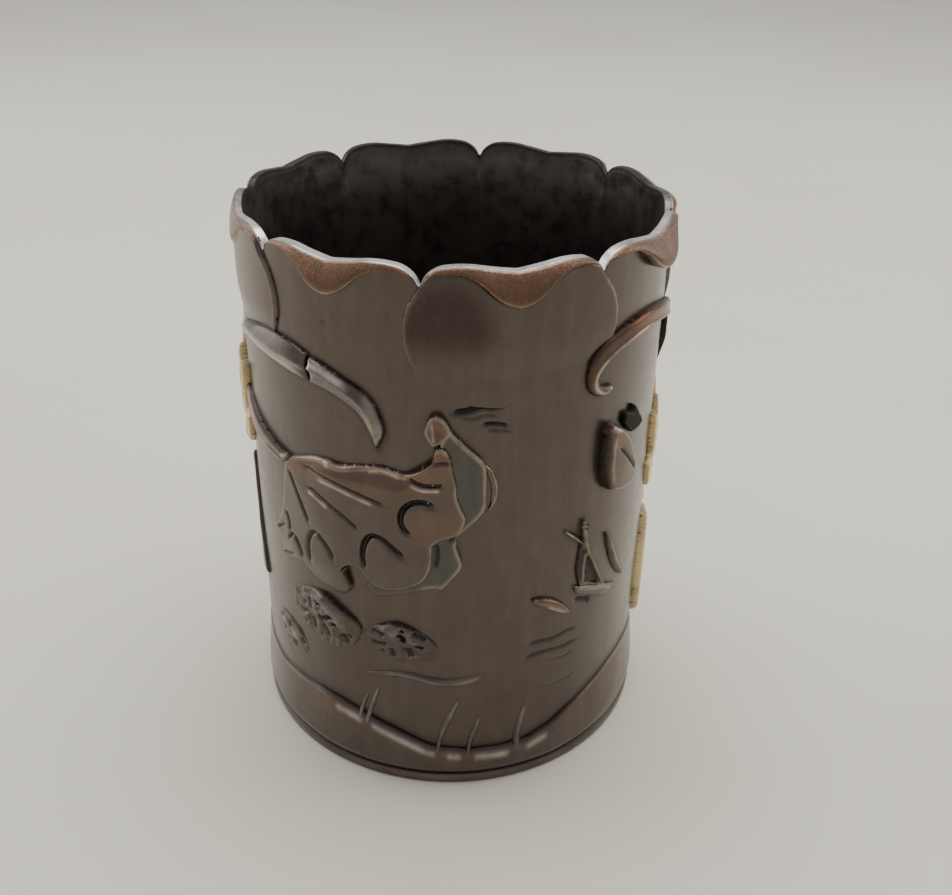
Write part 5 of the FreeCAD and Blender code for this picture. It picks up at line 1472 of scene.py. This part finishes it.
class POT_OT_rear(bpy.types.Operator):
    """The lotus leaf, seed pod and reeds on the back"""
    bl_idname = "brushpot.rear"
    bl_label = "Back reliefs"

    def execute(self, context):
        m = 132.0
        out = context.scene.pot_sizes.leaf_out / MM
        shape = closed(
            [(m - 17, 66), (m - 12, 71.5), (m - 4, 74.5), (m + 5, 74), (m + 13, 70), (m + 18, 63)],
            [(m + 20.5, 56), (m + 18, 49.5), (m + 12.5, 51.5)],
            [(m + 10, 45.5), (m + 3, 43.6), (m - 1.5, 49)],
            [(m - 6, 44), (m - 13, 45.2), (m - 14.6, 51.4)],
            [(m - 20.4, 51), (m - 21.5, 58.5), (m - 17, 66)])
        leaf = Relief("Lotus_leaf_rear", [shape], seed=14)
        leaf.slab(out * 0.75, edge=0.8, floor=0.4)
        hub = np.hypot(leaf.u - m - 1, (leaf.z - 61) * 1.25)
        leaf.out += 0.5 * ease((hub - 2) / 9) - 0.5 * np.exp(-(hub / 2.4) ** 2)
        for a in (-2.6, -1.9, -1.2, -0.5, 0.3, 1.1, 1.8, 2.5):
            spoke = [(m + 1 + k * math.sin(a), 61 + k * 0.8 * math.cos(a))
                     for k in (2.4, 8, 13.5, 18)]
            leaf.groove(spoke, 0.28, 0.55, 0.8)
            leaf.ridge([(u + 0.5, z) for u, z in spoke], 0.35, 0.16, 0.4)
        leaf.rim(0.35, 0.25, 0.6).uneven(8, 0.09)
        leaf.cast(leaf_metal(), "leaf", "leaf_rear", wear=0.8)
        for name, line, width, blunt, high, node_name, slot in (
                ("Leaf_rear_stem", [(m + 2, 16), (m + 4.5, 26), (m + 4, 36), (m + 2, 48)], 2.3, 0.8,
                 1.3, "leaf_rear_stem", "leaf"),
                ("Seed_pod_stem", [(98, 13), (102.5, 34), (103, 55), (101, 75)], 1.9, 0.9, 1.1,
                 "seed_pod_stem", "bud"),
                ("Reed_rear", [(m - 30, 93), (m - 20, 97), (m - 8, 97.6), (m + 4, 95),
                               (m + 14, 90), (m + 21, 83)], 4.4, 0.1, 1.8, "reed_rear", "reed"),
                ("Reed_rear_low", [(-98, 17), (-97, 32), (-93, 46), (-86, 57)], 3.6, 0.1, 1.5,
                 "reed_rear_low", "reed")):
            piece = Relief(name, [band(line, width, blunt)], cell=0.3)
            piece.roof(line, 0.4, high, edge=0.4, curve_up=0.8)
            piece.cast(reed_metal(), slot, node_name)
        p = 101.0
        shape = closed([(p - 7.5, 86.5), (p, 88.4), (p + 7.5, 86.5)],
                       [(p + 6.4, 80), (p + 1.6, 74.6)], [(p - 1.6, 74.6)],
                       [(p - 6.4, 80), (p - 7.5, 86.5)])
        pod = Relief("Seed_pod", [shape], seed=15)
        pod.slab(2.0, edge=1.6, floor=0.2)
        pod.groove([(p - 7, 83.4), (p, 82.2), (p + 7, 83.4)], 0.3, 0.5, blunt=True)
        for du in (-4.6, -1.6, 1.6, 4.6):
            pod.swell(p + du, 85, 0.9, 0.8, 0.5)
            pod.groove([(p + du - 1.2, 84.4), (p + du, 83.8), (p + du + 1.2, 84.4)], 0.2, 0.3)
        for du in (-3.6, 0, 3.6):
            pod.groove([(p + du, 81.4), (p + du * 0.6, 78), (p + du * 0.25, 75.2)], 0.25, 0.35)
        pod.cast(reed_metal(), "bud", "seed_pod")
        return {"FINISHED"}


# ------------------------------------------------------------------ stage
class POT_OT_stage(bpy.types.Operator):
    """The pale floor, the soft light and the camera"""
    bl_idname = "brushpot.stage"
    bl_label = "Stage"

    def execute(self, context):
        stage = context.scene.pot_stage
        finish = context.scene.pot_finish
        only_none()
        bpy.ops.mesh.primitive_plane_add(size=stage.floor_size)
        floor = context.object
        floor.name = floor.data.name = "Floor"
        bpy.ops.object.mode_set(mode="EDIT")
        bpy.ops.mesh.select_all(action="SELECT")
        bpy.ops.mesh.subdivide(number_cuts=8)
        bpy.ops.object.mode_set(mode="OBJECT")
        made = bpy.data.materials.new("Pale table")
        made.use_nodes = True
        tree = made.node_tree
        shader = tree.nodes["Principled BSDF"]
        place = node(tree, "TexCoord").outputs["Object"]
        cloud = noise(tree, place, 3.0, 4.0)
        weave = noise(tree, place, 900.0, 3.0)
        tint = blend(tree, ramp(tree, cloud, 0.35, 0.65), (*finish.floor, 1),
                     (*finish.floor_warm, 1))
        tree.links.new(tint, shader.inputs["Base Color"])
        lumps = node(tree, "Bump", (("Height", weave), ("Strength", 0.08), ("Distance", 0.0003)))
        tree.links.new(lumps.outputs[0], shader.inputs["Normal"])
        shader.inputs["Roughness"].default_value = 0.6
        floor.data.materials.append(made)

        world = context.scene.world or bpy.data.worlds.new("Room")
        context.scene.world = world
        world.use_nodes = True
        world.node_tree.nodes["Background"].inputs["Color"].default_value = (0.98, 0.99, 1.0, 1)
        world.node_tree.nodes["Background"].inputs["Strength"].default_value = stage.sky
        self.light("Overhead", (0.05, 0.25, 1.0), (0.0, 0.0, 0.05), 0.9, 0.7, stage.key)
        self.light("Left_window", (-0.85, 0.25, 0.45), (0, 0, 0.06), 0.7, 0.8, stage.key * 0.55)
        self.light("Right_window", (0.95, 0.2, 0.5), (0, 0, 0.06), 0.6, 0.8, stage.key * 0.5)

        p, y, r = stage.pitch, stage.yaw, stage.roll
        right = Vector((math.cos(y), -math.sin(y), 0))
        ahead = Vector((math.sin(y) * math.cos(p), math.cos(y) * math.cos(p), -math.sin(p)))
        above = right.cross(ahead)
        right, above = (right * math.cos(r) + above * math.sin(r),
                        above * math.cos(r) - right * math.sin(r))
        bpy.ops.object.camera_add(location=stage.eye)
        camera = context.object
        camera.name = "Camera"
        turn = Matrix((right, above, -ahead)).transposed().to_4x4()
        camera.matrix_world = Matrix.Translation(stage.eye) @ turn
        camera.data.sensor_width = 36
        camera.data.lens = stage.lens
        camera.data.clip_start = 0.005
        context.scene.camera = camera
        return {"FINISHED"}

    @staticmethod
    def light(name, place, aim, wide, tall, power):
        """A large rectangular soft light that faces the pot."""
        bpy.ops.object.light_add(type="AREA", location=place)
        light = bpy.context.object
        light.name = name
        light.rotation_euler = (Vector(aim) - Vector(place)).to_track_quat("-Z", "Y").to_euler()
        light.data.shape = "RECTANGLE"
        light.data.size, light.data.size_y = wide, tall
        light.data.energy = power


class POT_PT_panel(bpy.types.Panel):
    """Sizes, finishes and the steps that build the pot"""
    bl_idname = "POT_PT_panel"
    bl_label = "Brush pot"
    bl_space_type = "VIEW_3D"
    bl_region_type = "UI"
    bl_category = "Brush pot"

    def draw(self, context):
        for group in (context.scene.pot_sizes, context.scene.pot_finish, context.scene.pot_stage):
            box = self.layout.box()
            for name in group.__annotations__:
                box.prop(group, name)
        for step in STEPS:
            self.layout.operator(step.bl_idname)


STEPS = (POT_OT_reeds, POT_OT_leaf, POT_OT_bud, POT_OT_tufts, POT_OT_gilt, POT_OT_rear, POT_OT_rim,
         POT_OT_base, POT_OT_wall, POT_OT_stage)
CLASSES = (PotSizes, PotFinish, StageSetting, *STEPS, POT_PT_panel)


def register():
    for cls in CLASSES:
        bpy.utils.register_class(cls)
    bpy.types.Scene.pot_sizes = PointerProperty(type=PotSizes)
    bpy.types.Scene.pot_finish = PointerProperty(type=PotFinish)
    bpy.types.Scene.pot_stage = PointerProperty(type=StageSetting)


def unregister():
    del bpy.types.Scene.pot_stage, bpy.types.Scene.pot_finish, bpy.types.Scene.pot_sizes
    for cls in reversed(CLASSES):
        bpy.utils.unregister_class(cls)


def main():
    register()
    for step in STEPS:
        getattr(bpy.ops.brushpot, step.bl_idname.split(".")[1])()


if __name__ == "__main__":
    main()
